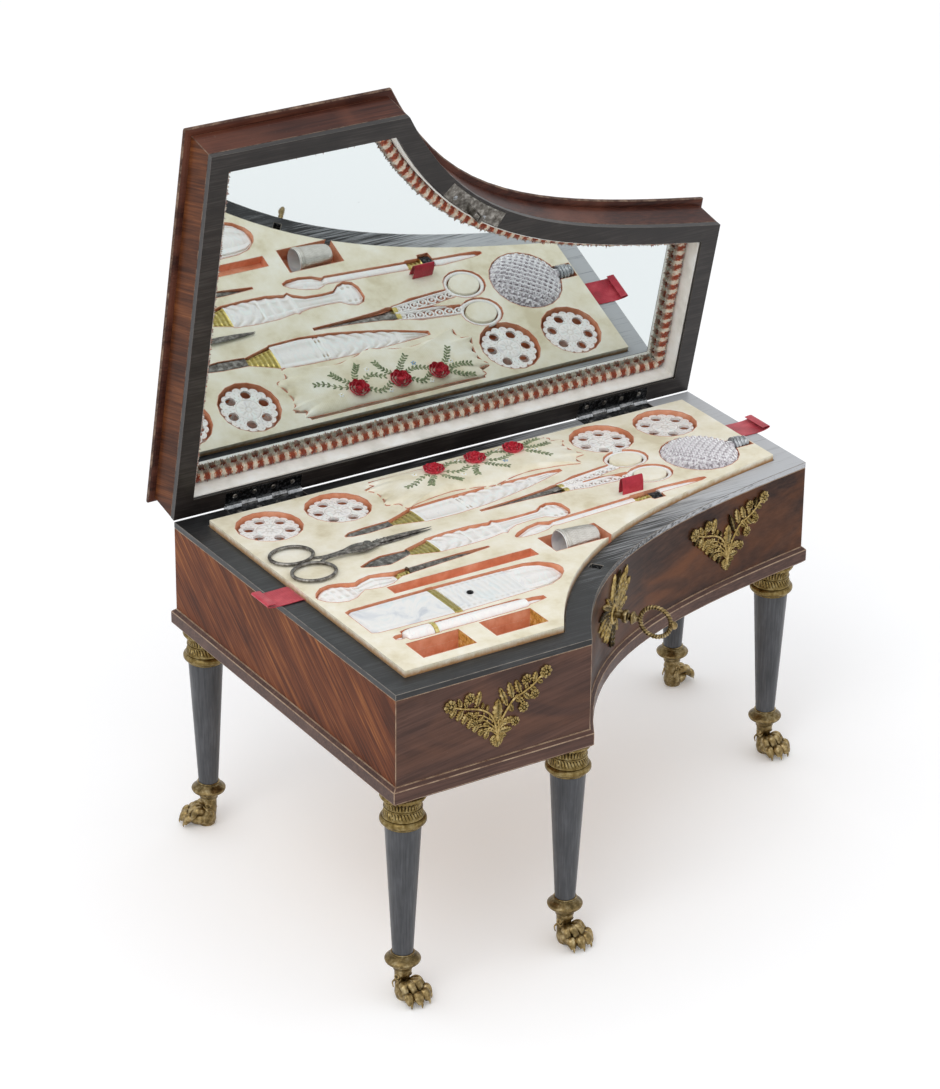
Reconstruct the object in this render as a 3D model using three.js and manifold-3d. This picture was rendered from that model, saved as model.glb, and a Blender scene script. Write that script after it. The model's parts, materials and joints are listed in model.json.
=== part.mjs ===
import * as THREE from 'three';
import { mergeVertices } from 'three/addons/utils/BufferGeometryUtils.js';
import Module from 'manifold-3d';

const wasm = await Module();
wasm.setup();

// A necessaire box shaped like a small grand piano. Lengths are in mm.
// x runs along the hinge edge, y is 0 there and falls towards the front, z is up from the floor.
// Lists named shares hold fractions of a named size, so every piece scales with its size.

// Plan of the case: straight back, long left side, short front, bent side, short right side.
const caseWidth = 300;
const caseDepth = 204;
const shortSideDepth = 101.5;
const straightFront = 103.7;
const bentShares = [[0.2, 0.659], [0.46, 0.825]];
const bentSteps = 20;
const runOut = 40;

// Heights of the case, from the feet up.
const footHeight = 24.4;
const taperHeight = 67.2;
const capitalHeight = 16.7;
const plinthHeight = 9.2;
const carcassHeight = 43.5;
const rimThick = 2.9;

// Case walls, bottom and rim.
const wallThick = 11;
const rimWidth = 12;
const plinthOverhang = 2;
const plinthEdge = 1.6;
const bottomInset = 4;
const fitGap = 0.15;
const ledgeDrop = 7;
const ledgeWidth = 6;

// Lid.
const lidGap = 0.8;
const lidDepth = 19.4;
const lidWall = 9.8;
const lidTopThick = 3.8;
const lidOverhang = 3.2;
const mirrorDepth = 13.1;
const mirrorThick = 2.2;
const liningThick = 0.8;
const trimHeight = 3.9;
const trimWidth = 5.6;
const lidOpen = THREE.MathUtils.degToRad(77);

// Hinges.
const hingeLength = 42;
const hingeLeafWidth = 8.5;
const hingeLeafThick = 1.2;
const barrelRadius = 2.1;
const hingePinRadius = 0.8;
const hingePlaceShares = [0.163, 0.842];
const runningGap = 0.3;

// Lock, key and staple.
const lockShare = 0.313;
const keyShare = 0.322;
const catchShare = 0.313;
const lockLength = 30;
const lockThick = 7;
const lockHeight = 32;
const keyAxisDrop = 21.5;
const bitReach = 5;
const bitThick = 1.3;
const bitLength = 2.6;
const keyShank = 1.7;
const keyReach = 14.6;
const keyBury = 9.4;
const bowRadius = 7.6;
const bowWire = 1.35;
const boltLength = 12;
const boltWidth = 1.6;
const boltHeight = 2.6;
const stapleDrop = 9;
const stapleWidth = 3.6;
const stapleThick = 1.6;
const strikeLength = 40;
const strikeWidth = 8;
const strikeThick = 1;

// Tray.
const trayInset = 12.5;
const trayThick = 20;
const trayProud = 3;
const fretThick = 5;
const layoutWidth = 300;
const layoutDepth = 204;
const seatGap = 0.4;
const cutOverrun = 3;

// Legs.
const legInset = 10;
const middleLegDrop = 11.6;
const shortLegInset = 11;
const shortLegDrop = 9;
const capitalRadius = 11.9;
const taperTopRadius = 8.4;
const taperFootRadius = 4.8;
const collarRadius = 8.2;
const pawReach = 14.2;
const middleLegInset = 3.7;

// Gilt mounts.
const mountThick = 1.3;
const sprayWidth = 57;
const sprayFrontShare = 0.177;
const sprayFrontRise = 4.8;
const spraySideShare = 0.758;
const spraySideRise = 2.9;
const palmetteWidth = 52;
const wrapGap = 0.25;

// Needlework tools in the tray.
const reelRadius = 14.7;
const reelHeight = 9.6;
const wellRadius = 16.4;
const wellDepth = 11.4;
const cushionWidth = 114;
const cushionDepth = 6;
const cushionCrown = 2.6;
const knifeLongLength = 128;
const knifeWaistLength = 117;
const knifeThick = 5;
const scissorReach = 36;
const scissorWire = 2.2;
const scissorBlade = 1.2;
const pivotRadius = 1.5;
const pearlReach = 53;
const pearlThick = 2.6;
const flaskRadius = 19.6;
const flaskThick = 10;
const capRadius = 4.4;
const capLength = 9.4;
const neckRadius = 2.6;
const thimbleLength = 21;
const thimbleWall = 0.8;
const stilettoLength = 96;
const stilettoThick = 5;
const hookLength = 115;
const hookThick = 5;
const barrelLength = 80;
const needleLength = 109.5;
const needleThick = 6.4;
const ribbonThick = 0.3;
const ribbonWidth = 15.6;
const ribbonHang = 7.4;
const loopHeight = 8.2;
const loopWidth = 12;
const compartmentDepth = 15;
const reelTurn = 0.3;

const plinthBase = footHeight + taperHeight + capitalHeight;
const carcassBase = plinthBase + plinthHeight;
const rimBase = carcassBase + carcassHeight;
const rimTop = rimBase + rimThick;
const quarterTurn = 90;
const fullTurn = Math.PI * 2;

const list = (count) => Array.from({ length: count }, (_, i) => i);
const scaled = (shares, size) => shares.map((row) => row.map((share) => share * size));
const mix = (a, b, t) => a + (b - a) * t;

function solid(geometry) {
  const bare = geometry.clone();
  bare.deleteAttribute('normal');
  bare.deleteAttribute('uv');
  const welded = mergeVertices(bare);
  return new wasm.Manifold(new wasm.Mesh({
    numProp: 3,
    vertProperties: new Float32Array(welded.attributes.position.array),
    triVerts: new Uint32Array(welded.index.array),
  }));
}

function geometryOf(body) {
  const mesh = body.getMesh();
  const geometry = new THREE.BufferGeometry();
  geometry.setAttribute('position', new THREE.BufferAttribute(new Float32Array(mesh.vertProperties), 3));
  geometry.setIndex(new THREE.BufferAttribute(new Uint32Array(mesh.triVerts), 1));
  geometry.computeVertexNormals();
  return geometry;
}

const union = (bodies) => bodies.reduce((sum, body) => sum.add(body));

function prism(outline, low, high, holes = []) {
  const shape = new THREE.Shape(outline.map(([x, y]) => new THREE.Vector2(x, y)));
  for (const hole of holes) {
    shape.holes.push(new THREE.Path(hole.map(([x, y]) => new THREE.Vector2(x, y))));
  }
  const geometry = new THREE.ExtrudeGeometry(shape, {
    depth: high - low, bevelEnabled: false, curveSegments: 1,
  });
  geometry.translate(0, 0, low);
  return solid(geometry);
}

function block(xLow, xHigh, yLow, yHigh, zLow, zHigh) {
  return prism([[xLow, yLow], [xHigh, yLow], [xHigh, yHigh], [xLow, yHigh]], zLow, zHigh);
}

// Rings of equal point counts joined into one skin, capped at both ends or closed on itself.
function loft(rings, { loop = false, planCap = false } = {}) {
  const count = rings[0].length;
  const positions = rings.flat().flat();
  const faces = [];
  const spans = loop ? rings.length : rings.length - 1;
  for (let r = 0; r < spans; r += 1) {
    const next = (r + 1) % rings.length;
    for (let i = 0; i < count; i += 1) {
      const j = (i + 1) % count;
      faces.push([r * count + i, r * count + j, next * count + j]);
      faces.push([r * count + i, next * count + j, next * count + i]);
    }
  }
  if (!loop) {
    for (const r of [0, rings.length - 1]) {
      const flip = r === 0;
      if (planCap) {
        const flat = rings[r].map(([x, y]) => new THREE.Vector2(x, y));
        const facing = THREE.ShapeUtils.area(flat) > 0;
        for (const [a, b, c] of THREE.ShapeUtils.triangulateShape(flat, [])) {
          const area = THREE.ShapeUtils.area([flat[a], flat[b], flat[c]]) > 0;
          const corner = [a, b, c].map((k) => r * count + k);
          faces.push((area === facing) === flip ? corner.reverse() : corner);
        }
      } else {
        const centre = [0, 1, 2].map((k) => rings[r].reduce((sum, p) => sum + p[k], 0) / count);
        const hub = positions.length / 3;
        positions.push(...centre);
        for (let i = 0; i < count; i += 1) {
          const j = (i + 1) % count;
          faces.push(flip ? [hub, r * count + j, r * count + i] : [hub, r * count + i, r * count + j]);
        }
      }
    }
  }
  const at = (k) => new THREE.Vector3().fromArray(positions, k * 3);
  const volume = faces.reduce((sum, [a, b, c]) => sum + at(a).dot(at(b).cross(at(c))), 0);
  const order = volume < 0 ? faces.map(([a, b, c]) => [a, c, b]) : faces;
  return new wasm.Manifold(new wasm.Mesh({
    numProp: 3,
    vertProperties: new Float32Array(positions),
    triVerts: new Uint32Array(order.flat()),
  }));
}

// A round piece about z from a list of radius and height.
function turned(profile, steps, loop = false) {
  return loft(profile.map(([radius, height]) => list(steps).map((i) => {
    const angle = (i / steps) * fullTurn;
    return [radius * Math.cos(angle), radius * Math.sin(angle), height];
  })), { loop });
}

// A bar along x from rows of x, low y, high y, low z, high z.
function bar(rows, steps, roundness = 1) {
  return loft(rows.map(([x, yLow, yHigh, zLow, zHigh]) => list(steps).map((i) => {
    const angle = ((i + 0.5) / steps) * fullTurn;
    const across = Math.sign(Math.cos(angle)) * Math.abs(Math.cos(angle)) ** roundness;
    const up = Math.sign(Math.sin(angle)) * Math.abs(Math.sin(angle)) ** roundness;
    return [x, mix(yLow, yHigh, (1 + across) / 2), mix(zLow, zHigh, (1 + up) / 2)];
  })));
}

// Rows given as shares: the first three of the length, the last two of the thickness.
const barRows = (shares, length, thick) => shares.map(([x, a, b, c, d]) => [
  x * length, a * length, b * length, c * thick, d * thick,
]);

// The hole a bar lies in, with the seat gap all round, open upwards.
function seat(rows, floor) {
  const low = rows.map(([x, yLow]) => [x, yLow]);
  const high = rows.map(([x, , yHigh]) => [x, yHigh]).reverse();
  return prism(grown([...low, ...high], seatGap), floor, cutOverrun);
}

// A counter-clockwise outline pushed outwards by a gap.
function grown(points, gap) {
  const count = points.length;
  const out = [];
  for (let i = 0; i < count; i += 1) {
    const [px, py] = points[(i + count - 1) % count];
    const [x, y] = points[i];
    const [nx, ny] = points[(i + 1) % count];
    const before = new THREE.Vector2(y - py, px - x).normalize();
    const after = new THREE.Vector2(ny - y, x - nx).normalize();
    const bisector = before.clone().add(after);
    const stretch = Math.min(2, 2 / Math.max(bisector.lengthSq(), 0.5));
    out.push([x + bisector.x * gap * stretch, y + bisector.y * gap * stretch]);
  }
  return out;
}

const disc = (x, y, radius, steps, squash = 1) => list(steps).map((i) => {
  const angle = (i / steps) * fullTurn;
  return [x + radius * Math.cos(angle), y + radius * squash * Math.sin(angle)];
});

// The bent side, walked by its own length from the straight front to the short side.
const bentStart = [straightFront, -caseDepth];
const bentEnd = [caseWidth, -shortSideDepth];
const bent = new THREE.CubicBezierCurve(
  new THREE.Vector2(...bentStart),
  ...bentShares.map(([u, v]) => new THREE.Vector2(
    mix(bentStart[0], bentEnd[0], u), mix(bentStart[1], bentEnd[1], v),
  )),
  new THREE.Vector2(...bentEnd),
);
const bentLength = bent.getLength();

function onBent(run) {
  const share = THREE.MathUtils.clamp(run / bentLength, 0, 1);
  const point = bent.getPointAt(share);
  const way = bent.getTangentAt(share);
  const beyond = run - share * bentLength;
  return { x: point.x + way.x * beyond, y: point.y + way.y * beyond, wx: way.x, wy: way.y };
}

function resampled(points, steps) {
  const path = points.map(([x, y]) => new THREE.Vector2(x, y));
  const lengths = path.slice(1).map((p, i) => p.distanceTo(path[i]));
  const total = lengths.reduce((sum, length) => sum + length, 0);
  const out = [];
  let index = 0;
  let passed = 0;
  for (let i = 0; i <= steps; i += 1) {
    const target = (total * i) / steps;
    while (index < lengths.length - 1 && passed + lengths[index] < target) {
      passed += lengths[index];
      index += 1;
    }
    const t = Math.min(1, (target - passed) / lengths[index]);
    out.push([mix(path[index].x, path[index + 1].x, t), mix(path[index].y, path[index + 1].y, t)]);
  }
  return out;
}

// The case outline moved inwards, counter-clockwise, always with the same number of points.
function plan(inset) {
  const front = -caseDepth + inset;
  const right = caseWidth - inset;
  const samples = bentSteps * 5;
  const walk = list(samples + 1).map((i) => {
    const p = onBent(mix(-runOut, bentLength + runOut, i / samples));
    return [p.x - p.wy * inset, p.y + p.wx * inset];
  });
  const first = walk.findIndex(([, y]) => y > front);
  const last = walk.findIndex(([x]) => x > right);
  const cut = (a, b, axis, value) => {
    const t = (value - a[axis]) / (b[axis] - a[axis]);
    return [mix(a[0], b[0], t), mix(a[1], b[1], t)];
  };
  const kept = [
    cut(walk[first - 1], walk[first], 1, front),
    ...walk.slice(first, last),
    cut(walk[last - 1], walk[last], 0, right),
  ];
  return [[inset, -inset], [inset, front], ...resampled(kept, bentSteps), [right, -inset]];
}

// A moulding whose section, a list of inset and height, runs round the whole case.
function moulding(section) {
  return loft(section.map(([inset, height]) => plan(inset).map(([x, y]) => [x, y, height])), { loop: true });
}

// A frame with its own x along the bent side, y up and z outwards.
function wallFrame(run, height) {
  const p = onBent(run);
  const frame = new THREE.Group();
  frame.position.set(p.x, p.y, height);
  frame.rotation.set(Math.PI / 2, 0, Math.atan2(p.wy, p.wx), 'ZYX');
  frame.updateMatrix();
  return frame;
}

const placed = (body, frame) => body.transform(frame.matrix.elements);

const ebony = { color: 0x2b2c2f, roughness: 0.42, metalness: 0 };
const mahogany = { color: 0x5a3322, roughness: 0.38, metalness: 0 };
const gilt = { color: 0x9c7f45, roughness: 0.42, metalness: 1 };
const steel = { color: 0x7d8286, roughness: 0.3, metalness: 1 };
const pearl = { color: 0xf0efe9, roughness: 0.25, metalness: 0 };
const cream = { color: 0xd9cfae, roughness: 0.8, metalness: 0 };
const paper = { color: 0xe9e4d4, roughness: 0.85, metalness: 0 };
const glass = { color: 0xe4e8ea, roughness: 0.05, metalness: 1 };
const crystal = { color: 0xc4bcc2, roughness: 0.08, metalness: 0 };
const chenille = { color: 0xc65a3a, roughness: 0.95, metalness: 0 };
const ribbon = { color: 0xb02a3c, roughness: 0.6, metalness: 0 };
const silk = { color: 0xd6ccae, roughness: 0.75, metalness: 0 };
const pine = { color: 0xa98457, roughness: 0.7, metalness: 0 };

function node(name, body, look, parent) {
  const mesh = new THREE.Mesh(geometryOf(body), new THREE.MeshStandardMaterial(look));
  mesh.name = name;
  parent.add(mesh);
  return mesh;
}

const root = new THREE.Group();
root.name = 'piano_necessaire';

// Case: carcass, rim facing, plinth moulding, bottom board and the ledge the tray rests on.
const lockFrame = wallFrame(lockShare * bentLength, rimBase);
const keyFrame = wallFrame(keyShare * bentLength, rimBase - keyAxisDrop);
const catchFrame = wallFrame(catchShare * bentLength, rimTop);

const halfLock = lockLength / 2;
const lockBack = -wallThick;
const lockFace = lockBack + lockThick;
const lockPocket = placed(
  block(
    -halfLock - fitGap, halfLock + fitGap, -lockHeight - fitGap, cutOverrun,
    lockBack - cutOverrun, lockFace + fitGap,
  ),
  lockFrame,
);
const holeRadius = keyShank + runningGap * 2;
const keyway = (reach, from, to) => union([
  prism(disc(0, 0, holeRadius, 12), from, to),
  block(-bitThick, bitThick, -reach - runningGap * 2, 0, from, to),
]);
const keyHole = placed(keyway(bitReach, lockFace - cutOverrun, cutOverrun), keyFrame);

const walls = prism(plan(0), carcassBase, rimBase, [plan(wallThick)]);
node('case_carcass', walls.subtract(lockPocket).subtract(keyHole), mahogany, root);

const axisHeight = rimTop + lidGap / 2;
const leafSink = hingeLeafThick + fitGap;
const halfHinge = hingeLength / 2;
const hingePlaces = hingePlaceShares.map((share) => share * caseWidth);
const rimHinge = hingePlaces.map((x) => union([
  block(
    x - halfHinge - fitGap, x + halfHinge + fitGap, -hingeLeafWidth - fitGap, cutOverrun,
    rimTop - leafSink, rimTop + cutOverrun,
  ),
  block(
    x - halfHinge - fitGap, x + halfHinge + fitGap, -barrelRadius - runningGap, cutOverrun,
    axisHeight - barrelRadius - runningGap, rimTop + cutOverrun,
  ),
]));
const catchHalf = stapleWidth / 2 + runningGap * 4;
const catchAcross = stapleThick / 2 + runningGap * 4;
const catchCentre = lockBack + lockThick / 2;
const catchHole = placed(
  block(
    -catchAcross, catchAcross, -rimThick - cutOverrun, cutOverrun,
    catchCentre - catchHalf, catchCentre + catchHalf,
  ),
  catchFrame,
);
const rim = prism(plan(0), rimBase, rimTop, [plan(rimWidth)]).subtract(union(rimHinge)).subtract(catchHole);
node('case_rim', rim, ebony, root);

const plinthTop = carcassBase;
node('plinth_moulding', moulding([
  [bottomInset - fitGap, plinthBase],
  [-fitGap, plinthBase],
  [-plinthOverhang, plinthBase + plinthEdge],
  [-plinthOverhang, plinthTop - plinthEdge],
  [-fitGap, plinthTop],
  [bottomInset - fitGap, plinthTop],
]), mahogany, root);

node('case_bottom', prism(plan(bottomInset), plinthBase, carcassBase), pine, root);

const trayTop = rimTop + trayProud;
const trayBase = trayTop - trayThick;
node('tray_ledge', prism(
  plan(wallThick + fitGap), trayBase - ledgeDrop, trayBase, [plan(wallThick + ledgeWidth)],
).subtract(lockPocket), pine, root);

// Legs: gilt capital, ebonised taper, gilt collar with a paw foot.
const legPlaces = [
  [legInset, -legInset],
  [legInset, legInset - caseDepth],
  [straightFront - middleLegInset, middleLegDrop - caseDepth],
  [caseWidth - shortLegInset, shortLegDrop - shortSideDepth],
  [caseWidth - shortLegInset, -legInset],
];
const legNames = ['back_left', 'front_left', 'middle', 'right_front', 'back_right'];
const pawTurns = [141, -73.2, -73.2, -76.7, 25.5].map(THREE.MathUtils.degToRad);
const reedCount = 10;

// Rows of radius share, height share and depth of the reeds at that height.
const capitalShares = [
  [0.74, 0, 0], [0.91, 0.04, 0], [0.91, 0.15, 0], [0.82, 0.24, 0.02],
  [0.8, 0.5, 0.05], [0.98, 0.66, 0.08], [1, 0.84, 0.08], [0.82, 1, 0],
];
const capital = loft(capitalShares.map(([radiusShare, heightShare, reed]) => list(reedCount * 2).map((i) => {
  const angle = (i / reedCount) * Math.PI;
  const radius = radiusShare * capitalRadius * (1 - (i % 2) * reed);
  return [radius * Math.cos(angle), radius * Math.sin(angle), heightShare * capitalHeight];
})));

const taper = turned([
  [taperFootRadius, 0], [taperTopRadius, taperHeight],
], 24);

const collarShares = [
  [0.5, 0.66], [0.7, 0.71], [0.76, 0.745], [1, 0.81], [0.96, 0.89], [0.68, 0.94], [0.66, 1],
];
const collar = turned(collarShares.map(([r, h]) => [r * collarRadius, h * footHeight]), 10);
const shankShares = [
  [0.5, 0, 0.01], [0.56, 0.16, 0], [0.46, 0.45, 0], [0.52, 0.68, 0],
];
const shank = loft(shankShares.map(([r, h, lean]) => disc(lean * pawReach, 0, r * collarRadius, 8)
  .map(([x, y]) => [x, y, h * footHeight])));
// Rows of x, half width, top of the knuckles and top of the valleys between the four toes.
const pawShares = [
  [-0.239, 0.254, 0.521, 0.521], [0.141, 0.38, 0.732, 0.718], [0.493, 0.451, 0.592, 0.507],
  [0.746, 0.493, 0.577, 0.296],
  [0.944, 0.465, 0.352, 0.169], [1, 0.394, 0.127, 0.07],
];
const toePlaceShares = [-0.98, -0.86, -0.62, -0.5, -0.38, -0.12, 0, 0.12, 0.38, 0.5, 0.62, 0.86, 0.98];
const valleyPlaceShares = [-0.5, 0, 0.5];
const paw = loft(pawShares.map(([x, half, knuckleTop, valleyTop]) => [
  [x, half, 0], [x, -half, 0],
  ...toePlaceShares.map((across) => {
    const valley = valleyPlaceShares.includes(across);
    const top = valley ? valleyTop : knuckleTop * (Math.abs(across) > 0.9 ? 0.6 : 1);
    return [x - (across * across * half) / 3, across * half, top];
  }),
].map((point) => point.map((share) => share * pawReach))));
const foot = union([collar, shank, paw]);

legPlaces.forEach(([x, y], i) => {
  const leg = new THREE.Group();
  leg.position.set(x, y, 0);
  const upper = node(`leg_${legNames[i]}_capital`, capital, gilt, leg);
  upper.position.z = footHeight + taperHeight;
  const shaft = node(`leg_${legNames[i]}_taper`, taper, ebony, leg);
  shaft.position.z = footHeight;
  const sole = node(`leg_${legNames[i]}_foot`, foot, gilt, leg);
  sole.rotation.z = pawTurns[i];
  root.add(leg);
});

// Gilt mounts: cut plates of leaves and flowers, in a frame with u along the wall and v up.
function leaf(u, v, turn, length, width) {
  const half = width / 2;
  const leafShares = [[0, 0], [0.35, -1], [0.72, -0.7], [1, 0]];
  const side = leafShares.map(([a, b]) => [a * length, b * half]);
  const other = leafShares.slice(1, -1).reverse().map(([a, b]) => [a * length, -b * half]);
  const cos = Math.cos(turn);
  const sin = Math.sin(turn);
  return [...side, ...other].map(([a, b]) => [u + a * cos - b * sin, v + a * sin + b * cos]);
}

function strip(points, width) {
  const left = [];
  const right = [];
  points.forEach(([x, y], i) => {
    const [ax, ay] = points[Math.max(0, i - 1)];
    const [bx, by] = points[Math.min(points.length - 1, i + 1)];
    const way = new THREE.Vector2(bx - ax, by - ay).normalize().multiplyScalar(width / 2);
    left.push([x - way.y, y + way.x]);
    right.push([x + way.y, y - way.x]);
  });
  return [...right, ...left.reverse()];
}

const petals = (u, v, radius) => list(8).map((i) => {
  const angle = (i / 8) * fullTurn;
  const reach = radius * (i % 2 ? 0.74 : 1);
  return [u + reach * Math.cos(angle), v + reach * Math.sin(angle)];
});

const stemWidthShare = 0.023;
const flowerRadiusShare = 0.06;
const flowerShares = [
  [-0.482, 0.561], [-0.289, 0.57], [-0.105, 0.544], [0.307, 0.561], [0.491, 0.57], [0.105, 0.474],
];
const stemShares = [
  [[0, 0.035], [-0.123, 0.158], [-0.246, 0.298], [-0.368, 0.439], [-0.482, 0.561]],
  [[0, 0.035], [0.123, 0.158], [0.246, 0.298], [0.368, 0.439], [0.491, 0.57]],
  [[-0.018, 0.07], [-0.123, 0.246], [-0.211, 0.421], [-0.289, 0.561]],
  [[0.018, 0.07], [0.123, 0.246], [0.211, 0.404], [0.307, 0.561]],
  [[-0.018, 0.07], [-0.061, 0.281], [-0.105, 0.544]],
  [[0.018, 0.07], [0.061, 0.263], [0.105, 0.474]],
];
// Rows of u, v, length and width as shares, then the turn in degrees.
const leafRows = [
  [[-0.351, 0.421, 0.114, 0.056], 200], [[-0.281, 0.333, 0.123, 0.06], 205],
  [[-0.211, 0.246, 0.123, 0.06], 210],
  [[-0.132, 0.158, 0.114, 0.056], 215], [[-0.061, 0.088, 0.105, 0.053], 220],
  [[0.351, 0.421, 0.114, 0.056], -20], [[0.281, 0.333, 0.123, 0.06], -25],
  [[0.211, 0.246, 0.123, 0.06], -30],
  [[0.132, 0.158, 0.114, 0.056], -35], [[0.061, 0.088, 0.105, 0.053], -40],
  [[-0.386, 0.456, 0.14, 0.053], 62], [[-0.228, 0.439, 0.123, 0.053], 75],
  [[-0.175, 0.351, 0.14, 0.056], 118],
  [[-0.088, 0.386, 0.14, 0.053], 62], [[0.386, 0.456, 0.14, 0.053], 118], [[0.228, 0.439, 0.14, 0.053],
  82],
  [[0.175, 0.351, 0.149, 0.056], 60], [[0.088, 0.351, 0.149, 0.053], 110], [[0, 0.053, 0.333, 0.088], 93],
  [[0.011, 0.132, 0.126, 0.063], -72], [[-0.011, 0.132, 0.126, 0.063], -108],
];

function spray() {
  const plates = [
    ...flowerShares.map(([u, v]) => prism(
      petals(u * sprayWidth, v * sprayWidth, flowerRadiusShare * sprayWidth), 0, mountThick * 1.3,
    )),
    ...stemShares.map((path) => prism(
      strip(scaled(path, sprayWidth), stemWidthShare * sprayWidth), 0, mountThick,
    )),
    ...leafRows.map(([row, turn]) => {
      const [u, v, length, width] = row.map((share) => share * sprayWidth);
      return prism(leaf(u, v, THREE.MathUtils.degToRad(turn), length, width), 0, mountThick * 0.8);
    }),
  ];
  return union(plates);
}

const sprayFront = node('spray_mount_front', spray(), gilt, root);
sprayFront.position.set(sprayFrontShare * caseWidth, -caseDepth, carcassBase + sprayFrontRise);
sprayFront.rotation.x = Math.PI / 2;

// Bends a flat plate onto the bent side; run is where its u is zero.
const wrapped = (body, run, height) => body.warp((v) => {
  const p = onBent(run + v[0]);
  const out = v[2] + wrapGap;
  const up = v[1];
  v[0] = p.x + p.wy * out;
  v[1] = p.y - p.wx * out;
  v[2] = height + up;
});
const spraySide = wrapped(spray(), spraySideShare * bentLength, carcassBase + spraySideRise);
node('spray_mount_side', spraySide, gilt, root);

// Palmette leaves round the keyhole: length, width and turn in degrees.
const palmetteRows = [
  [[0.356, 0.154], 94], [[0.356, 0.154], -90], [[0.365, 0.163], 124], [[0.481, 0.154], 150],
  [[0.365, 0.125], 172],
  [[0.346, 0.154], 58], [[0.5, 0.154], 27], [[0.423, 0.125], 5], [[0.25, 0.125], 215], [[0.25, 0.125],
  -35],
];
const plateRadiusShare = 0.115;
const palmette = union([
  prism(disc(0, 0, plateRadiusShare * palmetteWidth, 18), 0, mountThick * 1.2),
  ...palmetteRows.map(([[length, width], turn]) => prism(
    leaf(0, 0, THREE.MathUtils.degToRad(turn), length * palmetteWidth, width * palmetteWidth), 0, mountThick,
  )),
]).subtract(keyway(bitReach - 1 / 2, -cutOverrun, cutOverrun));
node('escutcheon', wrapped(palmette, keyShare * bentLength, rimBase - keyAxisDrop), gilt, root);

// Lock case with a pocket for the bolt and staple and a round chamber for the key's bit.
const chamberRadius = bitReach + runningGap * 2;
const keyAlong = (keyShare - lockShare) * bentLength;
const pocketLow = -stapleDrop - runningGap * 2;
const lockBody = block(-halfLock, halfLock, -lockHeight, 0, lockBack, lockFace)
  .subtract(block(
    -boltLength - catchAcross, boltLength / 2 + catchAcross * 2, pocketLow, cutOverrun,
    catchCentre - catchHalf, catchCentre + catchHalf,
  ));
const lockWall = lockThick / 6;
const chamber = union([
  prism(disc(0, 0, chamberRadius, 20), lockBack + lockWall, lockFace - lockWall),
  keyway(bitReach, lockFace - cutOverrun, lockFace + cutOverrun),
]).translate([keyAlong, -keyAxisDrop, 0]);

const lockCase = node('lock_case', lockBody.subtract(chamber), steel, root);
lockCase.position.copy(lockFrame.position);
lockCase.rotation.copy(lockFrame.rotation);

const boltStart = stapleThick / 2 + runningGap * 4;
const boltMesh = node('lock_bolt', block(
  -boltStart - boltLength * 0.75, -boltStart, pocketLow, pocketLow + boltHeight,
  catchCentre - boltWidth / 2, catchCentre + boltWidth / 2,
), steel, root);
boltMesh.position.copy(lockFrame.position);
boltMesh.rotation.copy(lockFrame.rotation);

// Key: shank and bit in the lock, collars, roped ring bow outside.
const bowCentre = keyReach + bowRadius;
const keyShares = [
  [1, -keyBury / keyReach], [1, 0.42], [1.9, 0.46], [1.9, 0.54], [1.15, 0.58], [1.15, 0.7], [1.8, 0.74],
  [1.8, 0.8], [1.3, 0.86], [1.3, 1.02],
];
const ropedRing = (radius, wire, around, section) => loft(list(around).map((i) => {
  const angle = (i / around) * fullTurn;
  const thick = wire * (i % 2 ? 0.82 : 1);
  return list(section).map((j) => {
    const roll = (j / section) * fullTurn;
    const reach = radius + thick * Math.cos(roll);
    return [reach * Math.cos(angle), reach * Math.sin(angle), thick * Math.sin(roll)];
  });
}), { loop: true });
const keyBody = union([
  turned(keyShares.map(([r, h]) => [r * keyShank, h * keyReach]), 10),
  block(-bitThick / 2, bitThick / 2, -bitReach, 0, -keyBury, -keyBury + bitLength),
  ropedRing(bowRadius, bowWire, 18, 5).rotate([0, quarterTurn, 0]).translate([0, 0, bowCentre]),
  turned([[bowWire, -bowWire], [bowWire * 1.6, 0], [bowWire, bowWire]], 8)
    .translate([0, 0, bowCentre + bowRadius + bowWire]),
]);
const key = node('key', keyBody, gilt, root);
key.position.copy(keyFrame.position);
key.rotation.copy(keyFrame.rotation);

// Hinges: the case leaf carries the pin, the lid leaf turns on it.
const knuckles = 5;
const knuckleSides = 8;
const knuckleLength = hingeLength / knuckles;
function knuckle(index, radius) {
  const start = -halfHinge + index * knuckleLength + runningGap / 2;
  const rows = [[radius, start], [radius, start + knuckleLength - runningGap]];
  return turned(rows, knuckleSides).rotate([0, quarterTurn, 0]);
}
function knuckleRoom(index) {
  const start = -halfHinge + index * knuckleLength - runningGap / 2;
  const radius = barrelRadius + runningGap;
  const rows = [[radius, start], [radius, start + knuckleLength + runningGap]];
  return turned(rows, knuckleSides).rotate([0, quarterTurn, 0]);
}
const pin = turned([
  [hingePinRadius, -halfHinge + runningGap], [hingePinRadius, halfHinge - runningGap],
], 8).rotate([0, quarterTurn, 0]);
const pinRoom = turned([
  [hingePinRadius + runningGap, -halfHinge - cutOverrun],
  [hingePinRadius + runningGap, halfHinge + cutOverrun],
], 8).rotate([0, quarterTurn, 0]);
const leafPlate = (low) => block(-halfHinge, halfHinge, -hingeLeafWidth, 0, low, low + hingeLeafThick);
const caseLeaf = union([
  leafPlate(-lidGap / 2 - hingeLeafThick).subtract(knuckleRoom(1)).subtract(knuckleRoom(3)),
  knuckle(0, barrelRadius), knuckle(2, barrelRadius), knuckle(4, barrelRadius), pin,
]);
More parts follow.
